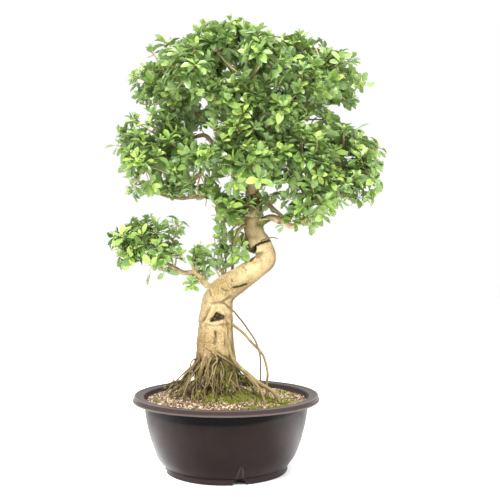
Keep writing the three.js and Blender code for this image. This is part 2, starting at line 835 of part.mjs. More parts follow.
function sprayGeometry(spray) {
  const vertices = [...spray.corners];
  const faces = [];
  const addRings = (firstRing, rings, tip) => {
    let low = firstRing;
    for (const ring of rings) {
      const high = ring.map((corner) => vertices.push(corner) - 1);
      faces.push(...bandFaces(low, high));
      low = high;
    }
    if (tip) {
      const end = vertices.push(tip) - 1;
      low.forEach((corner, index) => faces.push([corner, low[(index + 1) % 3], end]));
    } else {
      faces.push(low);
    }
  };
  for (const face of KNOT_FACES) {
    const blade = spray.blades.get(face);
    if (blade) {
      addRings(matchedRing(spray.corners, face, blade.rings[0]), blade.rings, blade.tip);
    } else if (face === spray.twigFace) {
      addRings(face, twigRings(spray.corners, face, 0, spray.end), null);
    } else {
      faces.push(face);
    }
  }
  return geometryFrom(vertices, faces);
}

const bonsai = new THREE.Group();
bonsai.position.copy(POT_PLACE);
bonsai.add(namedMesh('pot', geometryOf(makePot()), colours.pot));
bonsai.add(namedMesh('soil', geometryOf(makeSoil()), colours.soil));
bonsai.add(namedMesh('tree', geometryOf(wood.solid), colours.bark));

const { planned, taken } = plannedSprays();
addLeaves(planned, taken);
for (const spray of planned) {
  bonsai.add(namedMesh(spray.name, sprayGeometry(spray), colours.leaf));
}

export default bonsai;
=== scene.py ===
"""Dresses the potted ficus bonsai: its pot, soil, grit and moss, the trunk with its roots, the
limbs and twigs, and the leaves, on a plain stage. Metres, +Z up, and the front looks along -Y.
Places and routes are in millimetres from the pot's axis, as in the part's source."""

import itertools
import json
import math

import bpy
import numpy as np
from bpy.props import FloatProperty, FloatVectorProperty, IntProperty, PointerProperty
from mathutils import Matrix, Vector

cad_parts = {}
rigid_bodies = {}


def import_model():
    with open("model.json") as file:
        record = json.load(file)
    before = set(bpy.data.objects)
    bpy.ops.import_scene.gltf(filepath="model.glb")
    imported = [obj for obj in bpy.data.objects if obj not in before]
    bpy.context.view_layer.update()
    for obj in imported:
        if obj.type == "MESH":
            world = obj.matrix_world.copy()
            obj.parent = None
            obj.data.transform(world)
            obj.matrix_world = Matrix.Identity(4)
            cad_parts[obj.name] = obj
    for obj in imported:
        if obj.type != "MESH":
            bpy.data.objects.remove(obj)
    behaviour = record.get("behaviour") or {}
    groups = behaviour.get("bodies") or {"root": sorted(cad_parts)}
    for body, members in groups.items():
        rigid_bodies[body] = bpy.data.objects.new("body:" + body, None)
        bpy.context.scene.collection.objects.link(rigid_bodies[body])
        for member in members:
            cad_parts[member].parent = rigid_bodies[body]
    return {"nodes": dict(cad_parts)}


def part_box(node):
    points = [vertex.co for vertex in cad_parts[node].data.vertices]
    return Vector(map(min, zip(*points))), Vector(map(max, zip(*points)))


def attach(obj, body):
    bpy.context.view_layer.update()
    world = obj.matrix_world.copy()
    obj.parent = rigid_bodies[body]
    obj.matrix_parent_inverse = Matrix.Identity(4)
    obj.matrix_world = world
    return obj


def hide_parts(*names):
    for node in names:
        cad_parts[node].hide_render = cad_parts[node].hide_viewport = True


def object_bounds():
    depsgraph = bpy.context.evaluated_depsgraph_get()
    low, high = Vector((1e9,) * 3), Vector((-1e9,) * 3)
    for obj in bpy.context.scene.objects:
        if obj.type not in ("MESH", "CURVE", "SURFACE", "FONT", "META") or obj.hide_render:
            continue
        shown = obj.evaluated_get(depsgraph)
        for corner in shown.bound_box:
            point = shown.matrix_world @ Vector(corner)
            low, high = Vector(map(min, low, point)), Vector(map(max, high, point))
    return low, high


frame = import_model()
CAD_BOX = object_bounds()

bl_info = {
    "name": "Potted ficus bonsai",
    "version": (1, 0, 0),
    "blender": (4, 5, 0),
    "location": "View3D > Sidebar > Bonsai",
    "description": "Builds the detailed pieces of the potted ficus bonsai round its solid parts",
    "category": "Object",
}

MM = 0.001
POT_LOW, POT_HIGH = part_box("pot")
POT_AXIS = np.array([(POT_LOW.x + POT_HIGH.x) / 2, (POT_LOW.y + POT_HIGH.y) / 2, 0.0])
GOLDEN_ANGLE = math.pi * (3 - math.sqrt(5))
UP = np.array([0.0, 0.0, 1.0])

# Pot outline as [radius, height, rounding] from the floor's underside out over the rim and in
OUTER_WALL = [[119.5, 12.6], [131.5, 30], [143.6, 60], [151.3, 90], [155.3, 115], [157, 129.6]]
INNER_WALL = [[156, 134], [154, 128], [146.5, 80], [133.5, 40], [117, 13.5]]
FOOT_OUTLINE = [
    [0, 9, 0],
    [110, 9, 1],
    [111, 0, 0.8],
    [117, 0, 1],
    [116.6, 10.2, 0.6],
    [115.8, 11.4, 0.5],
]
RIM_OUTLINE = [
    [158.5, 131, 1.5],
    [174.5, 132.3, 0.8],
    [176.4, 131.6, 1],
    [178, 133, 1],
    [177.7, 135.2, 0.9],
    [176.3, 136, 0.7],
    [175.5, 141.2, 0],
    [175.2, 142.9, 1.3],
    [172.6, 142.9, 1],
    [171.6, 141.6, 1],
    [160.4, 141, 1.2],
    [158, 141.2, 0.8],
    [156.6, 139.4, 1],
]
FLOOR_TOP, POT_SEGMENTS = 13, 168
FOOT_RADIUS = 117
NOTCH_WIDTH, NOTCH_HEIGHT, NOTCH_STEPS = 24, 10, 15
FIRST_NOTCH_ANGLE = math.radians(-77)
DRAIN_HOLE_RADIUS, DRAIN_CIRCLE = 7, 70
# Two ribs on the wall over each notch lean together: (sideways, height) of their ends
RIB_FOOT, RIB_TOP, RIB_THICKNESS = (6.5, 13), (1, 39), 2.3
# Dust and a painted sheen on the rim, which start at the wall's top, with painted highlights that make it
# strongest on two edges
RIM_START, RIM_RIDGE_HEIGHT, RIM_RIDGE_RADIUS = 131, 142.9, 178
# How much paler the ribs are than the wall
RIB_PALENESS = 0.2
# The rim's shadow on the wall: where it reaches lowest, how low, and how much it rises to the sides
RIM_SHADOW_MIDDLE, RIM_SHADOW_LOW, RIM_SHADOW_RISE = -35, 111, 8
SHARP_ANGLE = math.radians(42)

# The tree's skeleton: rows of [x, y, z, radius]
TREE_FOOT = np.array([-23.0, 0.0, 0.0])
TRUNK = [
    [-17, 0, 112, 40],
    [-16, 0, 140, 47],
    [-17, 0, 160, 43],
    [-19, 0, 184, 39],
    [-22, 0, 212, 33.5],
    [-22, 0, 245, 32.5],
    [-20, 0, 280, 31.5],
    [-18, 0, 312, 28.5],
    [-8, 0, 337, 26.5],
    [22, 3, 359, 23.5],
    [52, 9, 380, 21.5],
    [76, 13, 402, 20],
    [70, 9, 426, 19],
    [56, 0, 445, 18.5],
    [51, -3, 470, 18.5],
    [50, -3, 498, 19],
    [49, -3, 514, 16],
]
# The knot at the bend's end, and the upper trunk's foot that overlaps the bend
TRUNK_LUMPS = [
    [[84, 9, 397, 6], [92, 7, 395, 5.4]],
    [[52, -2, 456, 16], [55, -2, 432, 15], [61, -2, 412, 11.5]],
]
# How far out the roots arch over the foot, at its left and elsewhere: [height, radius]
FLARE = [[140, 84], [154, 72], [176, 55], [197, 41], [212, 35], [245, 32.5], [280, 31.5], [312, 28.5]]
STEEP_FLARE = [[140, 58], [160, 50], [184, 43], [212, 35], [245, 32.5], [280, 31.5], [312, 28.5]]
LIMBS = {
    "crown_leader": [[50, -3, 480, 15], [49, 0, 545, 12], [45, 2, 610, 10], [41, 0, 663, 8],
                     [42, 0, 706, 6.5], [28, 0, 752, 4]],
    "crown_left": [[49, 0, 540, 9], [18, 5, 585, 8], [-6, 8, 640, 7], [-40, 12, 668, 6], [-80, 18, 700, 5],
                   [-108, 20, 724, 3]],
    "crown_right": [[45, 2, 615, 8], [84, 0, 652, 7.5], [118, -5, 693, 6.5], [150, -3, 726, 5],
                    [180, 4, 744, 4], [200, 10, 752, 2.5]],
    "crown_front": [[49, 0, 520, 8], [47, -34, 585, 7], [45, -42, 650, 5.5], [42, -52, 700, 4.5],
                    [46, -60, 730, 3]],
    "crown_back": [[49, 0, 530, 9], [42, 45, 600, 7.5], [36, 66, 660, 6], [34, 74, 710, 4.5],
                   [40, 78, 742, 3]],
    "left_high": [[18, 5, 585, 6.5], [-20, 0, 615, 6], [-42, -4, 637, 5.5], [-66, -2, 630, 4.5],
                  [-82, 4, 606, 3]],
    "left_low": [[48, 0, 500, 9], [8, 0, 512, 6.5], [-40, 3, 520, 4.5], [-90, 2, 518, 3.6],
                 [-130, 0, 528, 3], [-136, -2, 540, 2.4]],
    "right_high": [[49, 0, 545, 9], [90, -2, 552, 8], [128, -4, 556, 7], [166, -6, 550, 5.5],
                   [202, 4, 562, 3]],
    "right_low": [[52, -3, 462, 9], [84, -8, 479, 7.5], [106, -12, 472, 7], [126, -14, 463, 6.5],
                  [150, -10, 478, 6], [186, 0, 512, 5], [212, 8, 538, 3]],
    "right_fork": [[58, -3, 520, 8], [84, -6, 500, 6.5], [102, -10, 485, 6], [118, -13, 468, 5]],
    "centre_front": [[46, -28, 560, 6], [36, -62, 575, 5], [26, -80, 582, 3]],
    "neck": [[48, -4, 466, 5], [30, -8, 472, 4], [17, -10, 476, 3]],
    "lower_left": [[-12, 0, 335, 8], [-38, -2, 352, 6], [-60, -3, 373, 5], [-82, 2, 374, 4.5],
                   [-106, 12, 386, 4], [-130, 22, 398, 3.4], [-150, 16, 404, 2.5]],
}
# Limbs that end up thinner than their rows say, and by what factor
LIMB_THINNING = {
    "left_high": 0.75,
    "crown_left": 0.85,
    "right_fork": 0.6,
    "right_low": 0.8,
    "left_low": 0.85,
}
DARK_LIMBS = ("left_low", "right_fork")
# Limbs whose first stretches are part of the trunk's skin
TRUNK_LIMBS = ("crown_leader", "left_low", "right_low", "lower_left", "crown_left", "right_high")
# Roots round the foot: angle in degrees, height where each leaves the trunk, distance of its far
# end, side swing in degrees, thickness
SURFACE_ROOTS = [
    [-168, 196, 108, 8, 5], [-148, 208, 92, -6, 8], [-128, 222, 86, 10, 7], [-108, 230, 84, -14, 7.5],
    [-86, 214, 82, 10, 6], [-64, 205, 80, -8, 6], [-22, 208, 86, 12, 7], [22, 214, 86, -10, 7],
    [64, 220, 86, 12, 7], [106, 214, 86, -8, 7], [150, 206, 86, 10, 7],
    [-8, 186, 84, 8, 4], [44, 190, 86, -9, 3.6], [84, 196, 84, 8, 4.2], [126, 188, 86, -7, 3.6],
    [172, 186, 92, 8, 4],
]
# Thinner roots over the front of the foot: (x, z) of their points, and their two end radii
FRONT_ROOTS = [
    ([(-52, 216), (-57, 212), (-66, 205), (-69, 188), (-66, 168)], 2.2, 1.6),
    ([(-50, 214), (-60, 198), (-78, 180), (-93, 159), (-104, 146), (-112, 134)], 3, 2),
    ([(-40, 214), (-50, 198), (-63, 182), (-72, 164), (-77, 149), (-79, 134)], 2.8, 1.8),
    ([(-44, 204), (-50, 188), (-57, 167), (-61, 149), (-62, 134)], 2.2, 1.6),
    ([(-28, 228), (-18, 218), (-17, 209), (-24, 201), (-25, 186), (-34, 169), (-45, 149), (-48, 134)],
     2.4, 1.9),
    ([(-18, 200), (-23, 183), (-24, 160), (-22, 138)], 1.8, 1.4),
    ([(20, 200), (14, 190), (6, 172), (2, 150)], 1.8, 1.4),
    ([(8, 174), (19, 161), (34, 148), (44, 134)], 1.9, 1.5),
    ([(-27, 216), (-32, 205), (-40, 183), (-49, 161), (-55, 146), (-58, 134)], 2.3, 1.6),
    ([(-56, 204), (-73, 190), (-92, 172), (-103, 160), (-116, 145), (-124, 132)], 2.3, 1.6),
    ([(-38, 234), (-14, 220), (8, 205), (26, 190), (42, 174), (54, 158), (60, 140)], 1.8, 2.2),
    ([(-10, 208), (-4, 190), (-10, 170), (-6, 148)], 1.7, 1.3),
    ([(-20, 226), (0, 212), (14, 196), (20, 176)], 1.5, 1.5),
]
FREE_ROOTS = {
    "aerial_thick": [[2, -14, 284, 4], [14, -20, 274, 3], [37, -22, 255, 2.7], [57, -24, 234, 2.6],
                     [72, -26, 212, 2.5], [78, -28, 187, 2.4], [76, -28, 160, 2.4], [75, -28, 128, 2.2]],
    "aerial_thin": [[-8, -20, 320, 2.5], [6, -28, 310, 2], [28, -33, 286, 1.8], [53, -36, 251, 1.8],
                    [64, -38, 218, 1.8], [65, -38, 176, 1.8], [64, -38, 128, 1.7]],
    "running_root": [[4, -26, 252, 2.8], [8, -31, 228, 3.2], [17, -36, 208, 3.6], [34, -41, 191, 3.6],
                     [54, -47, 176, 3.6], [76, -54, 163, 3.5], [94, -62, 148, 3.2], [104, -66, 126, 2.6]],
    "running_root_fork": [[38, -42, 190, 2.6], [52, -52, 174, 2.2], [66, -66, 158, 2], [74, -74, 128, 1.8]],
    "stub_twig": [[64, -13, 434, 1.6], [78, -18, 439, 1.3], [89, -20, 441, 1], [98, -20, 438, 0.7]],
    "climbing_root": [[44, -6, 468, 4], [28, -14, 459, 3.4], [17, -8, 438, 3.2], [12, 14, 404, 3],
                      [10, 30, 372, 3], [9, 30, 340, 3], [9, 14, 312, 3.2], [8, -2, 290, 4],
                      [10, -4, 240, 5], [14, -6, 205, 6]],
}
FRONT_ROOT_THINNING = 0.74
# How mossy and how dark the free roots are, where they differ from the usual
ROOT_LOOKS = {
    "aerial_thin": (0.1, 0.55),
    "stub_twig": (0.3, 0.75),
    "climbing_root": (0.45, 0.1),
    "running_root": (0.3, 0.1),
}
USUAL_ROOT_LOOK = (0.34, 0.08)
# Furrows and ridges on the trunk's front: (x, z) points, half width, depth (raised where it is
# negative) and how dark the bark is there: dark cracks, and painted shade in the hollows, in the
# crevice and as the shadow under the bend
TRUNK_MARKS = [
    ([(-18, 298), (-27, 285)], 3.6, 4, 1),
    ([(-18, 298), (-4, 292)], 3.6, 4, 1),
    ([(-28, 284), (-4, 289)], 3.8, 4.5, 1),
    ([(-20, 291), (-11, 291)], 5, 5, 1),
    ([(-26, 316), (-6, 318), (8, 328)], 4.4, 4.5, 0.45),
    ([(46, 402), (50, 413), (56, 425), (68, 431), (82, 436)], 3.2, 6, 1),
    ([(46, 402), (53, 419)], 6.5, 6, 1),
    ([(-20, 263), (-19, 254)], 3.2, 2.4, 0.75),
    ([(-19, 251), (-21, 242)], 4.8, 2.8, 0.6),
    ([(-8, 345), (-2, 341), (4, 340)], 2.2, 1.4, 0.7),
    ([(14, 346), (26, 348), (38, 352)], 2.6, 2.4, 0.9),
    ([(8, 363), (12, 358)], 1.8, 1.2, 0.6),
    ([(31, 386), (39, 379)], 1.8, 1.2, 0.6),
    ([(-34, 343), (-28, 330)], 2, 1.2, 0.5),
    ([(-20, 309), (-36, 281)], 3.8, -6, 0),
    ([(-36, 310), (-49, 282)], 4.4, -5, 0),
    ([(-30, 309), (-43, 281)], 2.6, 3, 0.55),
    ([(-40, 279), (-20, 278), (3, 282)], 3.6, -3.5, 0),
    ([(-3, 309), (1, 301)], 7, -6, 0),
    ([(14, 352), (26, 355), (38, 358)], 3.4, -2.4, 0),
    ([(3, 296), (7, 267), (5, 221)], 3.4, -4.5, 0),
    ([(-6, 288), (0, 270), (2, 239), (7, 216)], 2.6, -3.4, 0),
    ([(-2, 292), (3.4, 268), (3, 240), (6, 216)], 1.6, 1.6, 0.45),
    ([(-13, 281), (-6, 263), (-4, 239)], 2.2, -1.8, 0),
    ([(60, 508), (66, 486)], 10, 1.5, 0.45),
]
# The seam where the bend's bark ends and the darker bark of the upper trunk starts: [x, z]
SEAM = [[38, 392], [45, 400], [50, 413], [56, 425], [68, 431], [82, 436], [90, 445]]
# How high the moss and the painted shade of the recess under the roots reach over the foot's front: [x, z]
MOSS_AND_SHADE_TOP = [[-60, 194], [-44, 196], [-35, 204], [-27, 220], [-14, 228], [0, 218], [12, 205], [25, 190]]
SOIL_EDGE_HEIGHT, SOIL_MOUND, SOIL_MOUND_WIDTH, SOIL_RADIUS = 132, 20, 85, 153.4
SOIL_DIP, SOIL_DIP_START = 3.6, 138
SOIL_RINGS, SOIL_SEGMENTS = 52, 150
# The soil's underside inside the pot: [radius, height]
SOIL_BELOW = [[146.5, 80], [133.5, 40], [117, 14]]
POT_CLEARANCE = 0.5
GRAIN_CORNERS, GRAIN_KINDS = 12, 4
# Grit starts between these distances from the foot's middle
GRIT_START = (54, 66)
SPRIG_KINDS, SPRIG_BLADES = 4, 5
# Moss grows on the soil between these distances from the foot's and the pot's middle
MOSS_START, MOSS_END, MOSS_TRIES = 50, 148, 30000
# How mossy the bark is where sprigs stand on it
MOSSY_ENOUGH = 0.62

# Clouds of foliage: centre, radii of the shell of sprays, how far down they reach, how far apart
# they are, and the share of young yellow-green rosettes
CLOUDS = {
    "crown": ([36, 0, 738], [184, 142, 54], -0.72, 67, 0.3),
    "crown_top": ([12, -6, 792], [46, 50, 30], 0.1, 54, 0.5),
    "left": ([-126, -8, 592], [50, 46, 50], -0.9, 57, 0.5),
    "right": ([218, 5, 560], [50, 46, 56], -0.9, 60, 0.4),
    "right_front": ([136, -62, 586], [36, 22, 30], -0.8, 48, 0.3),
    "centre_front": ([26, -78, 576], [56, 28, 52], -0.9, 58, 0.4),
    "middle_front": ([34, -84, 672], [84, 16, 14], -0.9, 56, 0.3),
    "middle_back": ([45, 100, 604], [100, 36, 44], -0.8, 74, 0.2),
    "right_low": ([168, -35, 494], [26, 16, 14], -0.6, 44, 0.1),
    "lower_left": ([-150, -10, 422], [38, 28, 26], -0.9, 48, 0.6),
}
SHOOTS = {
    "shoot_low": ([-48, -6, 400], [-0.1, -0.2, 1]),
    "shoot_inner": ([-12, 20, 420], [-0.3, 0, 1]),
    "shoot_neck": ([-2, -14, 490], [-0.6, -0.4, 0.6]),
}
# A shoot that starts elsewhere than at the limb nearest to it
SHOOT_FEET = {"shoot_inner": np.array([-4, 12, 352, 2])}
# The stems of a shoot: how far each leans aside, and how far it reaches
SHOOT_STEMS = [(-0.5, 14), (-0.2, 28), (0.1, 36), (0.4, 24)]
SHOOT_STEPS, SHOOT_LEAVES = 14, 13
SPIRAL_PLACES = 60
# Places that are compared with a route at one time, to save memory
PLACES_AT_ONCE = 20000

# Colours that lie over a material's own, in patches, lines or spots
DUST = (0.045, 0.028, 0.025)
RIM_SHADOW = (0.002, 0.0014, 0.0014)
BARK_GRAIN = (0.25, 0.17, 0.065)
BARK_SPECKLE = (0.24, 0.165, 0.07)
BARK_BLOOM = (0.90, 0.80, 0.55)
RUSTY_SPOT = (0.30, 0.155, 0.07)
BARK_CRACK = (0.10, 0.06, 0.025)
# Dark bark, which on the trunk is also the colour of painted shade
DARK_BARK_AND_SHADE = (0.034, 0.021, 0.009)
BROWN_MOSS = (0.12, 0.075, 0.018)
DAMP_SOIL, DRY_SOIL = (0.035, 0.022, 0.014), (0.15, 0.10, 0.065)
GRIT_DUST = (0.30, 0.21, 0.14)
DRY_MOSS, BRIGHT_MOSS = (0.075, 0.065, 0.015), (0.40, 0.40, 0.075)
LEAF_PATCH, LEAF_RIB, LEAF_UNDERSIDE = (0.24, 0.34, 0.05), (0.36, 0.46, 0.13), (0.30, 0.44, 0.17)
# Pale and dull bark of the limbs, the roots and the twigs
LIMB_BARK = (0.56, 0.44, 0.25), (0.30, 0.22, 0.10)
ROOT_BARK = (0.43, 0.32, 0.155), (0.23, 0.15, 0.065)
TWIG_BARK = (0.58, 0.48, 0.27), (0.36, 0.27, 0.12)
TWIG_MOSS = (0.2, 0.2, 0.04)
# Tones of the grains of grit, from the darkest on: place in the range, colour
GRIT_TONES = [
    (0.0, (0.05, 0.032, 0.02)),
    (0.25, (0.125, 0.08, 0.048)),
    (0.46, (0.26, 0.18, 0.105)),
    (0.62, (0.40, 0.245, 0.16)),
    (0.82, (0.59, 0.47, 0.31)),
    (1.0, (0.86, 0.78, 0.62)),
]

# The studio: each area light's place, size and share of the main light's power
STUDIO_LIGHTS = {
    "key_light": ((-0.5, -1.75, 2.3), 0.5, 1.0),
    "fill_light": ((1.9, -1.3, 1.3), 1.8, 0.2),
    "top_light": ((0.1, 0.5, 2.3), 1.6, 0.25),
}
LIT_HEIGHT = 0.48
# The two lights on the floor beside the pot: side, and share of the floor's power
FLOOR_LIGHTS = ((-1, 0.8), (1, 1.2))
FLOOR_LIGHT_PLACE, FLOOR_LIT_PLACE = (0.78, -0.25, 0.8), (0.36, -0.06, 0)
FLOOR_LIGHT_ANGLE, FLOOR_LIGHT_BLEND, FLOOR_LIGHT_SIZE = math.radians(26), 0.6, 0.05
# The eye's place in the photo: sideways from the pot's axis, distance and height
EYE_SIDE, EYE_DISTANCE, EYE_LEVEL = 45.1, 1400, 385
SENSOR_WIDTH = 36


def stream(seed):
    """A source of random numbers of its own, the same in every run."""
    return np.random.RandomState(seed)


def unit(vector):
    """The vector at a length of one."""
    return vector / max(np.linalg.norm(vector), 1e-9)


def square_to(vector, axis):
    """The direction nearest to the vector that is square to the axis."""
    return unit(vector - np.dot(vector, axis) * axis)


def smoothstep(low, high, value):
    """0 up to low, 1 from high on and a smooth rise between. Where low is the higher, it falls."""
    share = np.clip((value - low) / (high - low), 0, 1)
    return share * share * (3 - 2 * share)


def soft_noise(points, size, seed):
    """Smooth random values from -1 to 1, one for each point. size is that of the lumps."""
    cell = np.asarray(points) / size
    low = np.floor(cell).astype(np.int64)
    part = cell - low
    part = part * part * (3 - 2 * part)
    total = np.zeros(len(cell))
    for corner in range(8):
        shift = np.array([corner & 1, corner >> 1 & 1, corner >> 2])
        mixed = ((low + shift) @ np.array([73856093, 19349663, 83492791]) + seed * 7919) & 0x7FFFFFFF
        mixed = ((mixed ^ (mixed >> 13)) * 1274126177) & 0x7FFFFFFF
        mixed = ((mixed ^ (mixed >> 11)) * 668265263) & 0x7FFFFFFF
        weight = np.prod(np.where(shift, part, 1 - part), axis=1)
        total += weight * (((mixed >> 8) & 0xFFFF) / 32767.5 - 1)
    return total


# Meshes and pieces


def mesh_from(name, vertices, faces, smooth=True):
    """A mesh of these faces, shaded smooth or flat."""
    mesh = bpy.data.meshes.new(name)
    mesh.from_pydata([tuple(v) for v in vertices], [], faces)
    mesh.update()
    if smooth:
        mesh.shade_smooth()
    return mesh


def object_from(name, data):
    """An object of the scene that holds a mesh, a light or a camera."""
    piece = bpy.data.objects.new(name, data)
    bpy.context.scene.collection.objects.link(piece)
    return piece


def plain_mesh(source, name):
    """The mesh that an object's modifiers make of it. The object itself is removed."""
    bpy.context.view_layer.update()
    evaluated = source.evaluated_get(bpy.context.evaluated_depsgraph_get())
    mesh = bpy.data.meshes.new_from_object(evaluated)
    mesh.name = name
    bpy.data.objects.remove(source)
    return mesh


def finish_piece(name, mesh, material, slot, *nodes):
    """Puts a finished mesh on the tree's body, in place of the solid parts that it stands for."""
    mesh.materials.clear()
    mesh.materials.append(material)
    piece = object_from(name, mesh)
    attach(piece, "root")
    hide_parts(*nodes)
    return piece


def set_attribute(mesh, name, values, kind="FLOAT", domain="POINT"):
    """Stores one value for each point or face of the mesh."""
    attribute = mesh.attributes.new(name, kind, domain)
    field = "vector" if kind == "FLOAT_VECTOR" else "value"
    attribute.data.foreach_set(field, np.asarray(values).ravel())


def points_of(mesh):
    """Places and normals of the mesh's points."""
    places = np.empty(len(mesh.vertices) * 3, np.float32)
    mesh.vertices.foreach_get("co", places)
    normals = np.empty(len(mesh.vertices) * 3, np.float32)
    mesh.vertex_normals.foreach_get("vector", normals)
    return places.reshape(-1, 3).astype(float), normals.reshape(-1, 3).astype(float)


def smooth_route(rows, steps):
    """Rows of [x, y, z, radius] evenly stepped along a smooth curve through the given ones."""
    rows = np.asarray(rows, float)
    knots = np.vstack([2 * rows[0] - rows[1], rows, 2 * rows[-1] - rows[-2]])[:, :3]
    spans = len(rows) - 1
    route = []
    for step in range(steps + 1):
        row = min(step * spans // steps, spans - 1)
        share = step * spans / steps - row
        p = knots[row : row + 4]
        gap = [max(np.linalg.norm(p[k + 1] - p[k]) ** 0.5, 1e-4) for k in range(3)]
        leave = (p[1] - p[0]) / gap[0] - (p[2] - p[0]) / (gap[0] + gap[1]) + (p[2] - p[1]) / gap[1]
        arrive = (p[2] - p[1]) / gap[1] - (p[3] - p[1]) / (gap[1] + gap[2]) + (p[3] - p[2]) / gap[2]
        square, cube = share**2, share**3
        place = p[1] * (2 * cube - 3 * square + 1) + p[2] * (3 * square - 2 * cube)
        place = place + gap[1] * (leave * (cube - 2 * square + share) + arrive * (cube - square))
        radius = rows[row, 3] + (rows[row + 1, 3] - rows[row, 3]) * smoothstep(0, 1, share)
        route.append([*place, radius])
    return np.array(route)


def band(low, high, count, flipped=False):
    """Four-sided faces between two rings of points, which start at the two given indices."""
    faces = []
    for k in range(count):
        nxt = (k + 1) % count
        if flipped:
            faces.append((low + k, high + k, high + nxt, low + nxt))
        else:
            faces.append((low + k, low + nxt, high + nxt, high + k))
    return faces


def circle(radius, height, count):
    """Points on a level circle round the axis."""
    angles = np.arange(count) * 2 * math.pi / count
    return np.column_stack([radius * np.cos(angles), radius * np.sin(angles), np.full(count, height)])


def tube(route, sides, lobes=None):
    """A closed tube round a stepped route: its vertices and faces."""
    headings = np.gradient(route[:, :3], axis=0)
    headings /= np.linalg.norm(headings, axis=1)[:, None]
    helper = np.array([1.0, 0, 0]) if abs(headings[0][2]) > 0.9 else UP
    side = np.cross(helper, headings[0])
    angles = np.arange(sides) * 2 * math.pi / sides
    vertices, faces = [], []
    for step, (row, heading) in enumerate(zip(route, headings)):
        side = square_to(side, heading)
        other = np.cross(heading, side)
        reach = row[3] * (lobes(angles, step / (len(route) - 1)) if lobes else np.ones(sides))
        ring = np.outer(reach * np.cos(angles), side) + np.outer(reach * np.sin(angles), other)
        vertices.extend(row[:3] + ring)
    for step in range(len(route) - 1):
        faces += band(step * sides, (step + 1) * sides, sides)
    faces.append(tuple(range(sides))[::-1])
    last = (len(route) - 1) * sides
    faces.append(tuple(range(last, last + sides)))
    return np.array(vertices), faces


def joined(parts):
    """Several (vertices, faces) as one."""
    vertices, faces, count = [], [], 0
    for some, their_faces in parts:
        vertices.append(np.asarray(some, float))
        faces.extend(tuple(index + count for index in face) for face in their_faces)
        count += len(some)
    return np.vstack(vertices), faces


def in_place(vertices):
    """From millimetres round the pot's axis to the object's own frame in metres."""
    return np.asarray(vertices, float) * MM + POT_AXIS


# Materials

RANGE_ENDS = ("From Min", "From Max", "To Min", "To Max")


class Finish:
    """A material whose patterns follow the object's own coordinates or a mesh attribute."""

    def __init__(self, name, roughness, specular=0.5):
        self.material = bpy.data.materials.new(name)
        self.material.use_nodes = True
        self.tree = self.material.node_tree
        self.shader = self.tree.nodes["Principled BSDF"]
        self.shader.inputs["Roughness"].default_value = roughness
        self.shader.inputs["Specular IOR Level"].default_value = specular
        self.place = self.tree.nodes.new("ShaderNodeTexCoord").outputs["Object"]

    def _set(self, socket, value):
        if isinstance(value, bpy.types.NodeSocket):
            self.tree.links.new(value, socket)
        elif isinstance(value, (tuple, list)) or hasattr(value, "__len__"):
            socket.default_value = (*value[:3], 1)
        else:
            socket.default_value = value

    def stretched(self, scale):
        node = self.tree.nodes.new("ShaderNodeMapping")
        node.inputs["Scale"].default_value = scale
        self.tree.links.new(self.place, node.inputs["Vector"])
        return node.outputs["Vector"]

    def noise(self, scale, detail=3, roughness=0.55, place=None):
        node = self.tree.nodes.new("ShaderNodeTexNoise")
        node.inputs["Scale"].default_value = scale
        node.inputs["Detail"].default_value = detail
        node.inputs["Roughness"].default_value = roughness
        self.tree.links.new(place or self.place, node.inputs["Vector"])
        return node.outputs["Fac"]

    def cells(self, scale, feature="DISTANCE_TO_EDGE", place=None):
        node = self.tree.nodes.new("ShaderNodeTexVoronoi")
        node.feature = feature
        node.inputs["Scale"].default_value = scale
        self.tree.links.new(place or self.place, node.inputs["Vector"])
        return node.outputs["Distance"]

    def attribute(self, name, output="Fac"):
        node = self.tree.nodes.new("ShaderNodeAttribute")
        node.attribute_name = name
        return node.outputs[output]

    def spread(self, value, low, high, to_low=0.0, to_high=1.0):
        node = self.tree.nodes.new("ShaderNodeMapRange")
        for name, number in zip(RANGE_ENDS, (low, high, to_low, to_high)):
            node.inputs[name].default_value = number
        self.tree.links.new(value, node.inputs["Value"])
        return node.outputs["Result"]

    def ramp(self, value, stops):
        node = self.tree.nodes.new("ShaderNodeValToRGB")
        elements = node.color_ramp.elements
        elements.remove(elements[1])
        elements[0].position, elements[0].color = stops[0][0], (*stops[0][1], 1)
        for position, colour in stops[1:]:
            elements.new(position).color = (*colour, 1)
        self.tree.links.new(value, node.inputs["Fac"])
        return node.outputs["Color"]

    def mix(self, share, first, second, blend="MIX"):
        node = self.tree.nodes.new("ShaderNodeMix")
        node.data_type = "RGBA"
        node.blend_type = blend
        self._set(node.inputs[0], share)
        self._set(node.inputs[6], first)
        self._set(node.inputs[7], second)
        return node.outputs[2]

    def maths(self, operation, first, second):
        node = self.tree.nodes.new("ShaderNodeMath")
        node.operation = operation
        self._set(node.inputs[0], first)
        self._set(node.inputs[1], second)
        return node.outputs[0]

    def colour(self, value):
        self._set(self.shader.inputs["Base Color"], value)

    def roughness(self, value):
        self._set(self.shader.inputs["Roughness"], value)

    def bump(self, height, strength, distance):
        node = self.tree.nodes.new("ShaderNodeBump")
        node.inputs["Strength"].default_value = strength
        node.inputs["Distance"].default_value = distance
        self.tree.links.new(height, node.inputs["Height"])
        self.tree.links.new(node.outputs["Normal"], self.shader.inputs["Normal"])


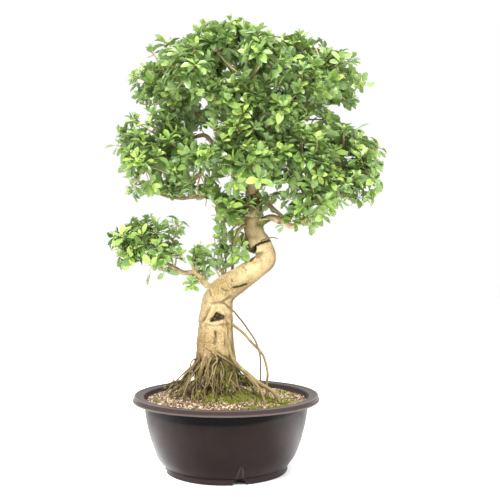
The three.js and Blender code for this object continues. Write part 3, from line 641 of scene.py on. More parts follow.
def plastic_finish(settings):
    """Satin plastic with dust and a painted sheen on the rim, painted highlights along its two edges, pale
    ribs and the rim's painted shadow below it.
    """
    finish = Finish("satin_brown_plastic", settings.roughness, 0.07)
    clouds = finish.noise(26, 4)
    base = finish.mix(finish.spread(clouds, 0.3, 0.7), settings.colour, settings.worn_colour)
    fine = finish.noise(900, 2)
    base = finish.mix(finish.spread(fine, 0.35, 0.75, 0, 0.18), base, DUST)
    # Dust and a painted sheen on the rim, painted highlights along its two edges, paler ribs and wear at the
    # foot
    base = finish.mix(finish.attribute("worn"), base, settings.rim_colour)
    shade = finish.maths("MULTIPLY", finish.attribute("shade"), 0.97)
    finish.colour(finish.mix(shade, base, RIM_SHADOW))
    scuffs = finish.noise(220, 5, 0.7, finish.stretched((1, 1, 3)))
    finish.roughness(finish.spread(scuffs, 0.3, 0.7, settings.roughness - 0.08, settings.roughness + 0.08))
    height = finish.maths("ADD", finish.noise(1300, 2), finish.spread(scuffs, 0.4, 0.7))
    finish.bump(height, 0.04, 0.0003)
    return finish.material


def bark_finish(name, pale, shaded, moss):
    """Bark with grain, speckles, spots and cracks, darkened by dark bark and painted shade, and mossy where
    the attributes say.
    """
    finish = Finish(name, 0.78, 0.25)
    broad = finish.noise(17, 4)
    base = finish.mix(finish.spread(broad, 0.4, 0.64), pale, shaded)
    long_grain = finish.noise(85, 5, 0.65, finish.stretched((1, 1, 0.55)))
    base = finish.mix(finish.spread(long_grain, 0.46, 0.7, 0, 0.75), base, BARK_GRAIN)
    speckle = finish.noise(520, 4, 0.65)
    base = finish.mix(finish.spread(speckle, 0.52, 0.68, 0, 0.5), base, BARK_SPECKLE)
    base = finish.mix(finish.spread(speckle, 0.47, 0.34, 0, 0.45), base, BARK_BLOOM)
    spots = finish.spread(finish.noise(380, 3, 0.6), 0.5, 0.6)
    spots = finish.maths("MULTIPLY", spots, finish.attribute("speckled"))
    base = finish.mix(finish.maths("MULTIPLY", spots, 0.6), base, RUSTY_SPOT)
    cracks = finish.cells(75, place=finish.stretched((1, 1, 0.5)))
    line = finish.maths("MULTIPLY", finish.spread(cracks, 0.04, 0.0), finish.spread(broad, 0.5, 0.62))
    base = finish.mix(finish.maths("MULTIPLY", line, 0.85), base, BARK_CRACK)
    # Darker where the attribute says: the bark's own dark places, and painted shade on the trunk
    base = finish.mix(finish.attribute("dark"), base, DARK_BARK_AND_SHADE)
    green = finish.mix(finish.noise(420, 3), moss, BROWN_MOSS)
    finish.colour(finish.mix(finish.attribute("moss"), base, green))
    height = finish.maths("ADD", finish.noise(260, 5, 0.65), finish.spread(cracks, 0.0, 0.06, 0, 0.35))
    finish.bump(height, 0.55, 0.0011)
    return finish.material


def soil_finish():
    """Damp soil under the grit."""
    finish = Finish("damp_soil", 0.95, 0.15)
    finish.colour(finish.ramp(finish.noise(420, 4), [(0.3, DAMP_SOIL), (0.7, DRY_SOIL)]))
    finish.bump(finish.noise(700, 4), 0.8, 0.001)
    return finish.material


def grit_finish():
    """Grains in many tones, from nearly black to cream."""
    finish = Finish("pale_grit", 0.85, 0.3)
    stone = finish.ramp(finish.attribute("tone"), GRIT_TONES)
    pale_share = finish.spread(finish.noise(900, 3), 0.35, 0.7, 0, 0.5)
    finish.colour(finish.mix(pale_share, stone, GRIT_DUST))
    finish.bump(finish.noise(1500, 3), 0.5, 0.0004)
    return finish.material


def moss_finish(settings):
    """Moss from dry brown to bright green."""
    finish = Finish("green_moss", 0.9, 0.2)
    stops = [(0.0, DRY_MOSS), (0.4, tuple(settings.moss_colour)), (1.0, BRIGHT_MOSS)]
    finish.colour(finish.ramp(finish.attribute("tone"), stops))
    finish.bump(finish.noise(2500, 2), 0.4, 0.0003)
    return finish.material


def leaf_finish(settings):
    """Glossy leaves by age, with a paler midrib and a dull paler underside."""
    finish = Finish("glossy_leaf", 0.3, 0.6)
    stops = [
        (0.0, tuple(settings.old_colour)),
        (0.5, tuple(settings.grown_colour)),
        (1.0, tuple(settings.young_colour)),
    ]
    top = finish.ramp(finish.attribute("age"), stops)
    top = finish.mix(finish.spread(finish.noise(60, 2), 0.35, 0.7, 0, 0.25), top, LEAF_PATCH)
    across = finish.attribute("across")
    rib = finish.maths("MULTIPLY", finish.spread(across, 0.10, 0.0), 0.45)
    top = finish.mix(rib, top, LEAF_RIB)
    underside = finish.attribute("underside")
    finish.colour(finish.mix(underside, top, finish.mix(0.5, top, LEAF_UNDERSIDE)))
    finish.shader.inputs["Subsurface Weight"].default_value = 0.04
    finish.shader.inputs["Subsurface Radius"].default_value = (1.0, 1.0, 0.35)
    finish.shader.inputs["Subsurface Scale"].default_value = 0.003
    finish.roughness(finish.spread(underside, 0, 1, 0.29, 0.6))
    height = finish.maths("ADD", finish.noise(330, 3), finish.spread(across, 0.12, 0.0, 0, -0.5))
    finish.bump(height, 0.25, 0.0007)
    return finish.material


# Geometry Nodes


class Tree:
    """A Geometry Nodes tree with one mesh in and one out."""

    def __init__(self, name, inputs):
        self.group = bpy.data.node_groups.new(name, "GeometryNodeTree")
        self.group.interface.new_socket("Geometry", in_out="INPUT", socket_type="NodeSocketGeometry")
        self.sockets = {}
        for label, kind in inputs:
            self.sockets[label] = self.group.interface.new_socket(label, in_out="INPUT", socket_type=kind)
        self.group.interface.new_socket("Geometry", in_out="OUTPUT", socket_type="NodeSocketGeometry")
        self.start = self.group.nodes.new("NodeGroupInput")
        self.end = self.group.nodes.new("NodeGroupOutput")

    def node(self, kind, links=(), **settings):
        node = self.group.nodes.new(kind)
        for name, value in settings.items():
            setattr(node, name, value)
        for socket, source in dict(links).items():
            target = node.inputs[socket]
            if isinstance(source, bpy.types.NodeSocket):
                self.group.links.new(source, target)
            else:
                target.default_value = source
        return node

    def given(self, label):
        return self.start.outputs[label]

    def named(self, name, kind="FLOAT"):
        node = self.node("GeometryNodeInputNamedAttribute", {"Name": name}, data_type=kind)
        return node.outputs["Attribute"]

    def product(self, first, second):
        return self.node("ShaderNodeMath", {0: first, 1: second}, operation="MULTIPLY").outputs[0]

    def random_value(self, low, high, seed):
        return self.node("FunctionNodeRandomValue", {2: low, 3: high, "Seed": seed}).outputs[1]

    def random_whole(self, low, high, seed):
        node = self.node("FunctionNodeRandomValue", {4: low, 5: high, "Seed": seed}, data_type="INT")
        return node.outputs[2]

    def set_members(self, points, holder, which, turn, scale):
        """One member of the collection at each point: the one of the given number."""
        choice = {"Collection": holder, "Separate Children": True, "Reset Children": True}
        members = self.node("GeometryNodeCollectionInfo", choice)
        placed = self.node("GeometryNodeInstanceOnPoints", {
            "Points": points,
            "Instance": members.outputs[0],
            "Pick Instance": True,
            "Instance Index": which,
            "Rotation": turn,
            "Scale": scale,
        })
        return placed.outputs[0]

    def close(self, geometry, material):
        """Ends in plain geometry with its material on."""
        real = self.node("GeometryNodeRealizeInstances", {"Geometry": geometry})
        look = self.node("GeometryNodeSetMaterial", {"Geometry": real.outputs[0], "Material": material})
        self.group.links.new(look.outputs[0], self.end.inputs[0])

    def run(self, name, mesh, values):
        """The mesh that the tree makes of the given one."""
        source = object_from(name + "_source", mesh)
        modifier = source.modifiers.new("Made", "NODES")
        modifier.node_group = self.group
        for label, value in values.items():
            modifier[self.sockets[label].identifier] = value
        return plain_mesh(source, name)


def hold_shapes(name, shapes):
    """The shapes as the members of a collection of their own."""
    holder = bpy.data.collections.new(name + "_shapes")
    for shape in shapes:
        holder.objects.link(bpy.data.objects.new(shape.name, shape))
    return holder


def drop_shapes(holder):
    """Removes the collection with its members. Their meshes stay in what was made of them."""
    for shape in list(holder.objects):
        bpy.data.objects.remove(shape)
    bpy.data.collections.remove(holder)


def set_shapes(name, points, attributes, shapes, material, sizes):
    """Sets one of the shapes at each point, turned and sized as its attributes say. sizes are the
    named factors for the width and the length of all of them."""
    width_label, length_label = sizes
    tree = Tree(name, [(label, "NodeSocketFloat") for label in sizes])
    holder = hold_shapes(name, shapes)
    width = tree.product(tree.named("size"), tree.given(width_label))
    length = tree.product(tree.named("size"), tree.given(length_label))
    scale = tree.node("ShaderNodeCombineXYZ", {"X": width, "Y": length, "Z": length}).outputs[0]
    turn = tree.named("turn", "QUATERNION")
    placed = tree.set_members(tree.given("Geometry"), holder, tree.named("kind", "INT"), turn, scale)
    tree.close(placed, material)
    cloud = bpy.data.meshes.new(name + "_points")
    cloud.from_pydata([tuple(place) for place in points], [], [])
    for label, (values, kind) in attributes.items():
        set_attribute(cloud, label, values, kind)
    mesh = tree.run(name, cloud, sizes)
    drop_shapes(holder)
    for label in ("size", "kind", "turn"):
        if label in mesh.attributes:
            mesh.attributes.remove(mesh.attributes[label])
    return mesh


def sleeve(name, routes, sides, unevenness, material):
    """Bark round each of the stepped routes, as one mesh."""
    tree = Tree(name, [("Sides", "NodeSocketInt"), ("Unevenness", "NodeSocketFloat")])
    curve = tree.node("GeometryNodeMeshToCurve", {"Mesh": tree.given("Geometry")})
    ring = tree.node("GeometryNodeCurvePrimitiveCircle", {"Resolution": tree.given("Sides"), "Radius": 1.0})
    skin = tree.node("GeometryNodeCurveToMesh", {
        "Curve": curve.outputs[0],
        "Profile Curve": ring.outputs[0],
        "Scale": tree.named("thickness"),
        "Fill Caps": True,
    })
    lumps = tree.node("ShaderNodeTexNoise", {"Scale": 120.0, "Detail": 3.0})
    share = tree.node("ShaderNodeMath", {0: lumps.outputs["Fac"], 1: 0.5}, operation="SUBTRACT")
    reach = tree.product(tree.product(share.outputs[0], tree.given("Unevenness")), tree.named("thickness"))
    normal = tree.node("GeometryNodeInputNormal")
    offset = tree.node("ShaderNodeVectorMath", {0: normal.outputs[0], "Scale": reach}, operation="SCALE")
    moved = tree.node("GeometryNodeSetPosition", {"Geometry": skin.outputs[0], "Offset": offset.outputs[0]})
    smooth = tree.node("GeometryNodeSetShadeSmooth", {"Geometry": moved.outputs[0]})
    tree.close(smooth.outputs[0], material)
    vertices, edges, thickness, tints = [], [], [], []
    for route, moss, dark in routes:
        first = len(vertices)
        vertices.extend(in_place(route[:, :3]))
        thickness.extend(route[:, 3] * MM)
        tints.extend([(moss, dark)] * len(route))
        edges.extend((k, k + 1) for k in range(first, len(vertices) - 1))
    lines = bpy.data.meshes.new(name + "_lines")
    lines.from_pydata([tuple(v) for v in vertices], edges, [])
    tints = np.array(tints, float)
    set_attribute(lines, "thickness", thickness)
    set_attribute(lines, "moss", tints[:, 0])
    set_attribute(lines, "dark", tints[:, 1])
    mesh = tree.run(name, lines, {"Sides": sides, "Unevenness": unevenness})
    mesh.attributes.remove(mesh.attributes["thickness"])
    return mesh


# Pot


def rounded(outline, steps=4):
    """The outline with each corner eased by its own rounding."""
    corners = np.array([row[:2] for row in outline], float)
    eased = [corners[0]]
    for k in range(1, len(corners) - 1):
        before, corner, after = corners[k - 1 : k + 2]
        rounding = outline[k][2] if len(outline[k]) > 2 else 0
        if rounding == 0:
            eased.append(corner)
            continue
        first = corner + unit(before - corner) * min(rounding, 0.45 * np.linalg.norm(before - corner))
        last = corner + unit(after - corner) * min(rounding, 0.45 * np.linalg.norm(after - corner))
        for share in np.linspace(0, 1, steps + 1):
            eased.append((1 - share) ** 2 * first + 2 * share * (1 - share) * corner + share**2 * last)
    eased.append(corners[-1])
    return np.array(eased)


def eased_wall(points, steps=5):
    """The wall's points joined by a smooth curve, as rows of an outline."""
    rows = [[radius, 0, height, 1] for radius, height in points]
    return [[row[0], row[2], 0] for row in smooth_route(rows, steps * (len(points) - 1))]


def turned(profile, segments):
    """The profile turned round the axis. Its first and last points lie on the axis."""
    rings = [circle(radius, height, segments) for radius, height in profile[1:-1]]
    vertices = np.vstack([*rings, [[0, 0, profile[0][1]]], [[0, 0, profile[-1][1]]]])
    faces = []
    for ring in range(len(rings) - 1):
        faces += band(ring * segments, (ring + 1) * segments, segments)
    start, end = len(vertices) - 2, len(vertices) - 1
    last = (len(rings) - 1) * segments
    for k in range(segments):
        nxt = (k + 1) % segments
        faces.append((start, nxt, k))
        faces.append((end, last + k, last + nxt))
    return vertices, faces


def arch_cutter(angle):
    """A notch under the foot ring."""
    half = NOTCH_WIDTH / 2
    arch = [(-half, -5)]
    for turn in np.linspace(0, math.pi, NOTCH_STEPS):
        arch.append((-half * math.cos(turn), 1 + (NOTCH_HEIGHT - 1) * math.sin(turn)))
    arch.append((half, -5))
    out = np.array([math.cos(angle), math.sin(angle), 0])
    along = np.array([-math.sin(angle), math.cos(angle), 0])
    vertices = []
    for reach in (FOOT_RADIUS - 20, FOOT_RADIUS + 12):
        vertices += [out * reach + along * aside + UP * height for aside, height in arch]
    count = len(arch)
    faces = [(k, count + k, count + (k + 1) % count, (k + 1) % count) for k in range(count)]
    return vertices, faces + [tuple(range(count)), tuple(range(count, 2 * count))[::-1]]


def hole_cutter(x, y):
    """A drain hole through the pot's floor."""
    return tube(np.array([[x, y, z, DRAIN_HOLE_RADIUS] for z in (4.0, 10.0, 16.0)]), 24)


def wall_radius(height):
    """The outer wall's radius at a height."""
    wall = np.array(OUTER_WALL)
    return np.interp(height, wall[:, 1], wall[:, 0])


def wall_rib(angle, start, end, thickness):
    """A low rib on the wall between two (sideways, height) points."""
    route = []
    for share in np.linspace(0, 1, 12):
        aside, height = np.array(start) + (np.array(end) - np.array(start)) * share
        radius = wall_radius(height) - thickness * 0.35
        turn = angle + aside / radius
        size = thickness * (0.35 + 0.65 * math.sin(math.pi * min(1, 0.12 + share * 0.76)))
        route.append([radius * math.cos(turn), radius * math.sin(turn), height, size])
    return tube(np.array(route), 8)


def pot_with_openings():
    """The turned shell with its notches and drain holes cut out."""
    outline = FOOT_OUTLINE + eased_wall(OUTER_WALL) + RIM_OUTLINE + eased_wall(INNER_WALL)
    vertices, faces = turned(rounded(outline + [[0, FLOOR_TOP, 0]]), POT_SEGMENTS)
    shell = object_from("pot_shell_source", mesh_from("pot_shell", in_place(vertices), faces))
    holes = [hole_cutter(0, 0)]
    for angle in notch_angles():
        turn = angle + math.pi / 4
        holes.append(hole_cutter(DRAIN_CIRCLE * math.cos(turn), DRAIN_CIRCLE * math.sin(turn)))
    vertices, faces = joined([arch_cutter(angle) for angle in notch_angles()] + holes)
    cutter = object_from("pot_cutter", mesh_from("pot_cutter", in_place(vertices), faces, False))
    modifier = shell.modifiers.new("Openings", "BOOLEAN")
    modifier.operation, modifier.solver, modifier.object = "DIFFERENCE", "EXACT", cutter
    mesh = plain_mesh(shell, "pot_shell")
    bpy.data.objects.remove(cutter)
    return mesh


def notch_angles():
    """Where the four notches are round the foot."""
    return [FIRST_NOTCH_ANGLE + quarter * math.pi / 2 for quarter in range(4)]


def build_pot(settings):
    """The pot with its ribs, how pale each point of it is from dust, wear, a painted sheen and painted
    highlights, and how much of the rim's painted shadow lies on it.
    """
    shell = pot_with_openings()
    shell_points, _ = points_of(shell)
    shell_faces = [tuple(face.vertices) for face in shell.polygons]
    ribs = []
    for angle in notch_angles():
        for side in (-1, 1):
            foot, top = (side * RIB_FOOT[0], RIB_FOOT[1]), (side * RIB_TOP[0], RIB_TOP[1])
            ribs.append(wall_rib(angle, foot, top, RIB_THICKNESS))
    vertices, faces = joined(ribs)
    mesh = mesh_from("pot_shell", *joined([(shell_points, shell_faces), (in_place(vertices), faces)]))
    mesh.set_sharp_from_angle(angle=SHARP_ANGLE)
    places = (points_of(mesh)[0] - POT_AXIS) / MM
    radius, height = np.hypot(places[:, 0], places[:, 1]), places[:, 2]
    # Painted highlights along the rim's top edge and its outer bead, over dust and a painted sheen on the
    # whole rim
    ridges = np.exp(-(((height - RIM_RIDGE_HEIGHT) / 0.8) ** 2))
    ridges += 0.75 * np.exp(-(((radius - RIM_RIDGE_RADIUS) / 0.7) ** 2))
    pale_share = smoothstep(RIM_START - 5, RIM_START, height) * (0.18 + 0.7 * ridges)
    worn = pale_share + 0.1 * smoothstep(14, 10, height)
    worn[len(shell_points) :] = RIB_PALENESS
    set_attribute(mesh, "worn", worn)
    sag = ((places[:, 0] - RIM_SHADOW_MIDDLE) / 130) ** 2
    shade = smoothstep(-2, 3, height - RIM_SHADOW_LOW - RIM_SHADOW_RISE * sag)
    shade *= smoothstep(RIM_START, RIM_START - 2, height)
    set_attribute(mesh, "shade", shade)
    finish_piece("pot_shell", mesh, plastic_finish(settings), "pot_plastic", "pot")


# Soil, grit and moss


def soil_height(x, y):
    """The soil's height: a mound at the tree's foot, small waves, and a dip at the pot's wall."""
    away = np.hypot(x - TREE_FOOT[0], y)
    waves = 1.3 * np.sin(x * 0.31 + 1) * np.cos(y * 0.27) + 0.9 * np.sin(x * 0.13 - y * 0.19)
    dip = SOIL_DIP * smoothstep(SOIL_DIP_START, SOIL_RADIUS, np.hypot(x, y))
    return SOIL_EDGE_HEIGHT + SOIL_MOUND * np.exp(-((away / SOIL_MOUND_WIDTH) ** 2)) + waves - dip


def soil_surface():
    """The bed's top, ring by ring from the middle."""
    rings, segments = SOIL_RINGS, SOIL_SEGMENTS
    radii = SOIL_RADIUS * np.linspace(0, 1, rings + 1)[1:]
    flat = np.vstack([circle(radius, 0.0, segments) for radius in radii])
    height = soil_height(flat[:, 0], flat[:, 1])
    height += 1.1 * soft_noise(flat, 7, 3) + 0.7 * soft_noise(flat, 3, 4)
    vertices = np.vstack([np.column_stack([flat[:, :2], height]), [[0, 0, soil_height(0.0, 0.0)]]])
    faces = [(len(flat), k, (k + 1) % segments) for k in range(segments)]
    for ring in range(rings - 1):
        faces += band(ring * segments, (ring + 1) * segments, segments, True)
    return vertices, faces


def build_soil():
    """The closed bed of soil under the grit."""
    vertices, faces = soil_surface()
    lower = len(vertices) - 1 - SOIL_SEGMENTS
    for radius, height in SOIL_BELOW:
        start = len(vertices)
        vertices = np.vstack([vertices, circle(radius - POT_CLEARANCE, height, SOIL_SEGMENTS)])
        faces += band(lower, start, SOIL_SEGMENTS, True)
        lower = start
    faces.append(tuple(range(lower, lower + SOIL_SEGMENTS))[::-1])
    mesh = mesh_from("soil_bed", in_place(vertices), faces)
    finish_piece("soil_bed", mesh, soil_finish(), "potting_mix", "soil")


def grain_shapes(count):
    """Lumpy grains with twenty faces each."""
    golden = (1 + math.sqrt(5)) / 2
    corners = []
    for a in (-1, 1):
        for b in (-golden, golden):
            corners += [(0, a, b), (a, b, 0), (b, 0, a)]
    corners = np.array(corners, float) / math.hypot(1, golden)
    faces = []
    for a, b, c in itertools.combinations(range(GRAIN_CORNERS), 3):
        sides = [np.linalg.norm(corners[i] - corners[j]) for i, j in ((a, b), (b, c), (a, c))]
        if max(sides) < 1.2:
            out = np.cross(corners[b] - corners[a], corners[c] - corners[a])
            faces.append((a, b, c) if out @ corners[a] > 0 else (a, c, b))
    shapes = []
    for kind in range(count):
        random = stream(40 + kind)
        size = (0.5 * (0.78 + 0.5 * random.rand(GRAIN_CORNERS)))[:, None]
        stretch = 0.75 + 0.5 * random.rand(3)
        shapes.append(mesh_from(f"grain_{kind}", corners * size * stretch, faces, False))
    return shapes


def build_grit(settings):
    """Grains scattered over the whole bed outside the tree's foot."""
    vertices, faces = soil_surface()
    bed = mesh_from("grit_bed", in_place(vertices), faces)
    away = np.hypot(vertices[:, 0] - TREE_FOOT[0], vertices[:, 1])
    set_attribute(bed, "room", smoothstep(*GRIT_START, away))
    inputs = {"Grains per area": "NodeSocketFloat", "Grain size": "NodeSocketFloat", "Seed": "NodeSocketInt"}
    tree = Tree("grit", inputs.items())
    holder = hold_shapes("grit", grain_shapes(GRAIN_KINDS))
    density = tree.product(tree.given("Grains per area"), tree.named("room"))
    scatter = {"Mesh": tree.given("Geometry"), "Density": density, "Seed": tree.given("Seed")}
    points = tree.node("GeometryNodeDistributePointsOnFaces", scatter).outputs[0]
    turns = [tree.random_value(0.0, 2 * math.pi, 11 + axis) for axis in range(3)]
    euler = tree.node("ShaderNodeCombineXYZ", dict(zip("XYZ", turns))).outputs[0]
    rotation = tree.node("FunctionNodeEulerToRotation", {"Euler": euler}).outputs[0]
    size = tree.product(tree.random_value(0.55, 1.35, 17), tree.given("Grain size"))
    tone = {"Geometry": points, "Name": "tone", "Value": tree.random_value(0.0, 1.0, 19)}
    toned = tree.node("GeometryNodeStoreNamedAttribute", tone).outputs[0]
    which = tree.random_whole(0, GRAIN_KINDS - 1, 23)
    material = grit_finish()
    tree.close(tree.set_members(toned, holder, which, rotation, size), material)
    values = {"Grains per area": settings.grains, "Grain size": settings.grain_size, "Seed": 7}
    mesh = tree.run("soil_grit", bed, values)
    drop_shapes(holder)
    finish_piece("soil_grit", mesh, material, "potting_mix", "soil")


def sprig_shapes(count):
    """Little tufts of pointed moss blades."""
    shapes = []
    for kind in range(count):
        random = stream(70 + kind)
        parts = []
        for number in range(SPRIG_BLADES):
            turn = number * GOLDEN_ANGLE + random.rand()
            lean = 0.25 + 0.75 * random.rand()
            way = unit(np.array([math.cos(turn) * lean, math.sin(turn) * lean, 1]))
            side = square_to(np.array([-math.sin(turn), math.cos(turn), 0.01]), way)
            other = np.cross(way, side)
            foot = np.array([math.cos(turn), math.sin(turn), 0]) * 0.18
            ring = [foot + 0.17 * (side * math.cos(a) + other * math.sin(a)) for a in (0, 2.09, 4.19)]
            tip = foot + way * (0.55 + 0.45 * random.rand())
            parts.append(([*ring, tip], [(0, 1, 3), (1, 2, 3), (2, 0, 3), (2, 1, 0)]))
        vertices, faces = joined(parts)
        shapes.append(mesh_from(f"sprig_{kind}", vertices, faces, False))
    return shapes


def turn_of(heading, upper):
    """The turn that takes +Y to heading and +Z near to upper, as a quaternion."""
    right = unit(np.cross(heading, upper))
    over = np.cross(right, heading)
    return tuple(Matrix(np.column_stack([right, heading, over]).tolist()).to_quaternion())


def build_moss(settings):
    """Moss on the bed in patches, thickest round the foot, and on the foot itself."""
    random = stream(5)
    flat = random.uniform(-1, 1, (MOSS_TRIES, 2)) * SOIL_RADIUS
    tries = np.column_stack([flat, np.zeros(MOSS_TRIES)])
    away = np.hypot(tries[:, 0] - TREE_FOOT[0], tries[:, 1])
    patch = soft_noise(tries, 26, 9) + 0.9 * soft_noise(tries, 8, 10)
    front_right = (tries[:, 0] > 0) * (tries[:, 1] < 0)
    want = patch + 1.2 * np.exp(-(((away - 62) / 22) ** 2)) + 0.6 * front_right
    kept = want + random.normal(0, 0.35, len(tries)) > 1.1
    kept &= (np.hypot(tries[:, 0], tries[:, 1]) < MOSS_END) & (away > MOSS_START)
    places = tries[kept][: settings.bed_sprigs]
    places[:, 2] = soil_height(places[:, 0], places[:, 1]) + 0.6
    normals = np.tile(UP, (len(places), 1))
    points = in_place(places)
    foot = bpy.data.objects["trunk_and_roots"].data
    skin, skin_normals = points_of(foot)
    moss = np.empty(len(skin), np.float32)
    foot.attributes["moss"].data.foreach_get("value", moss)
    sites = np.flatnonzero(moss > MOSSY_ENOUGH)
    sites = sites[random.permutation(len(sites))[: settings.foot_sprigs]]
    points = np.vstack([points, skin[sites]])
    normals = np.vstack([normals, skin_normals[sites]])
    turns = []
    for normal in normals:
        normal = unit(normal + random.normal(0, 0.25, 3))
        turns.append(turn_of(square_to(random.normal(0, 1, 3), normal), normal))
    count = len(points)
    attributes = {
        "turn": (turns, "QUATERNION"),
        "size": (random.uniform(0.7, 1.35, count), "FLOAT"),
        "kind": (random.randint(0, SPRIG_KINDS, count), "INT"),
        "tone": (np.clip(random.normal(0.45, 0.3, count), 0, 1), "FLOAT"),
    }
    sizes = {"Sprig width": settings.sprig_size, "Sprig height": settings.sprig_size}
    material = moss_finish(settings)
    mesh = set_shapes("moss", points, attributes, sprig_shapes(SPRIG_KINDS), material, sizes)
    finish_piece("moss", mesh, material, "potting_mix", "soil")


# Trunk, roots, limbs and twigs


def trunk_lobes(angle, along):
    """The trunk's uneven girth, fluted near its foot."""
    flare = max(0, 1 - along * 4.2)
    return 1 + (0.03 + 0.05 * flare) * np.cos(5 * angle + 1) + 0.03 * np.cos(2 * angle + 9 * along)


def surface_root_rows(angle, height, distance, swing, thickness):
    """A root that leaves the trunk at a height, arches out and goes down into the soil."""
    rows = []
    drop = [
        (22, height + 14, 0.1, 1.1),
        (distance * 0.46, height - 22, 0.45, 1),
        (distance * 0.78, 166, 0.9, 0.85),
        (distance, 144, 1, 0.62),
        (distance * 0.9, 126, 1, 0.4),
    ]
    for out, z, turn, taper in drop:
        heading = math.radians(angle + swing * math.sin(turn * math.pi))
        rows.append([TREE_FOOT[0] + out * math.cos(heading), out * math.sin(heading), z, thickness * taper])
    return rows


def flare_radius(height, leftness=0.0):
    """The radius that the roots keep to round the foot. leftness is 1 at its left."""
    wide, steep = np.interp(height, *np.array(FLARE).T), np.interp(height, *np.array(STEEP_FLARE).T)
    return steep + (wide - steep) * leftness


def front_root_rows(points, first, last):
    """A root over the front of the foot: its depth follows the flare that it lies on."""
    rows = []
    for k, (x, z) in enumerate(points):
        aside = x - TREE_FOOT[0]
        reach = flare_radius(z, smoothstep(0, -50, aside)) + 1.5
        depth = math.sqrt(max(reach**2 - aside**2, 12.0**2))
        rows.append([x, -depth, z, first + (last - first) * k / (len(points) - 1)])
    return rows


def distance_to_line(places, points):
    """Distance of each (x, z) place from a broken line."""
    nearest = np.full(len(places), 1e9)
    for start, end in zip(points[:-1], points[1:]):
        start, end = np.array(start, float), np.array(end, float)
        way = end - start
        share = np.clip(((places - start) @ way) / max(way @ way, 1e-9), 0, 1)
        gaps = np.linalg.norm(places - (start + share[:, None] * way), axis=1)
        nearest = np.minimum(nearest, gaps)
    return nearest


def nearest_station(places, route):
    """The index of the route's nearest station to each place."""
    best = np.zeros(len(places), int)
    for start in range(0, len(places), PLACES_AT_ONCE):
        some = places[start : start + PLACES_AT_ONCE]
        gaps = ((some[:, None, :] - route[None, :, :3]) ** 2).sum(axis=2)
        best[start : start + PLACES_AT_ONCE] = gaps.argmin(axis=1)
    return best


def trunk_skin(settings, route):
    """Trunk, surface roots and the limbs' first stretches under one closed skin."""
    parts = [tube(route, 40, trunk_lobes)]
    for lump in TRUNK_LUMPS:
        parts.append(tube(smooth_route(lump, 8), 16))
    for root in SURFACE_ROOTS:
        rows = np.array(surface_root_rows(*root))
        rows[:, 3] *= settings.root_thickness
        parts.append(tube(smooth_route(rows, 28), 12))
    for name in TRUNK_LIMBS:
        parts.append(tube(smooth_route(LIMBS[name][:3], 20), 14))
    vertices, faces = joined(parts)
    source = object_from("trunk_source", mesh_from("trunk_source", in_place(vertices), faces))
    skin = source.modifiers.new("Skin", "REMESH")
    skin.mode, skin.voxel_size, skin.use_smooth_shade = "VOXEL", settings.skin_step, True
    ease = source.modifiers.new("Ease", "SMOOTH")
    ease.factor, ease.iterations = 0.5, 3
    return plain_mesh(source, "trunk_and_roots")


def trunk_lift(places, along, low):
    """How far lumps, rings and flutes raise the bark. low is 1 at the foot and 0 higher up."""
    lift = 1.3 * soft_noise(places, 30, 1) + (0.55 + 0.5 * low) * soft_noise(places, 11, 2)
    lift += (0.22 + 0.5 * low) * soft_noise(places, 4.5, 3) + 0.3 * low * soft_noise(places, 2.4, 4)
    rings = np.column_stack([along * 640, np.zeros(len(along)), np.zeros(len(along))])
    lift += 0.35 * (1 - low) * soft_noise(rings + soft_noise(places, 25, 5)[:, None] * 3, 5, 6)
    lift += 1.0 * low * soft_noise(places * np.array([1, 1, 0.16]), 5, 8)
    return lift


def trunk_marks(places, normals):
    """How deep the furrows and ridges of the front are at each place, and how dark they are from dark cracks
    and painted shade.
    """
    front = smoothstep(0.25, -0.2, normals[:, 1])
    flat = places[:, [0, 2]]
    depth, dark = np.zeros(len(places)), np.zeros(len(places))
    for line, width, mark_depth, shade in TRUNK_MARKS:
        wobble = soft_noise(places, 4, 12) * min(width * 0.2, 0.9)
        gap = (distance_to_line(flat, line) + wobble) / width
        share = np.clip(1 - gap**2, 0, 1) ** 1.5 * front
        depth += mark_depth * share
        # Dark cracks, and painted shade in the hollows, the crevice and under the bend
        dark = np.maximum(dark, np.clip(shade * (0.5 + shade) * share, 0, 1))
    return depth, dark


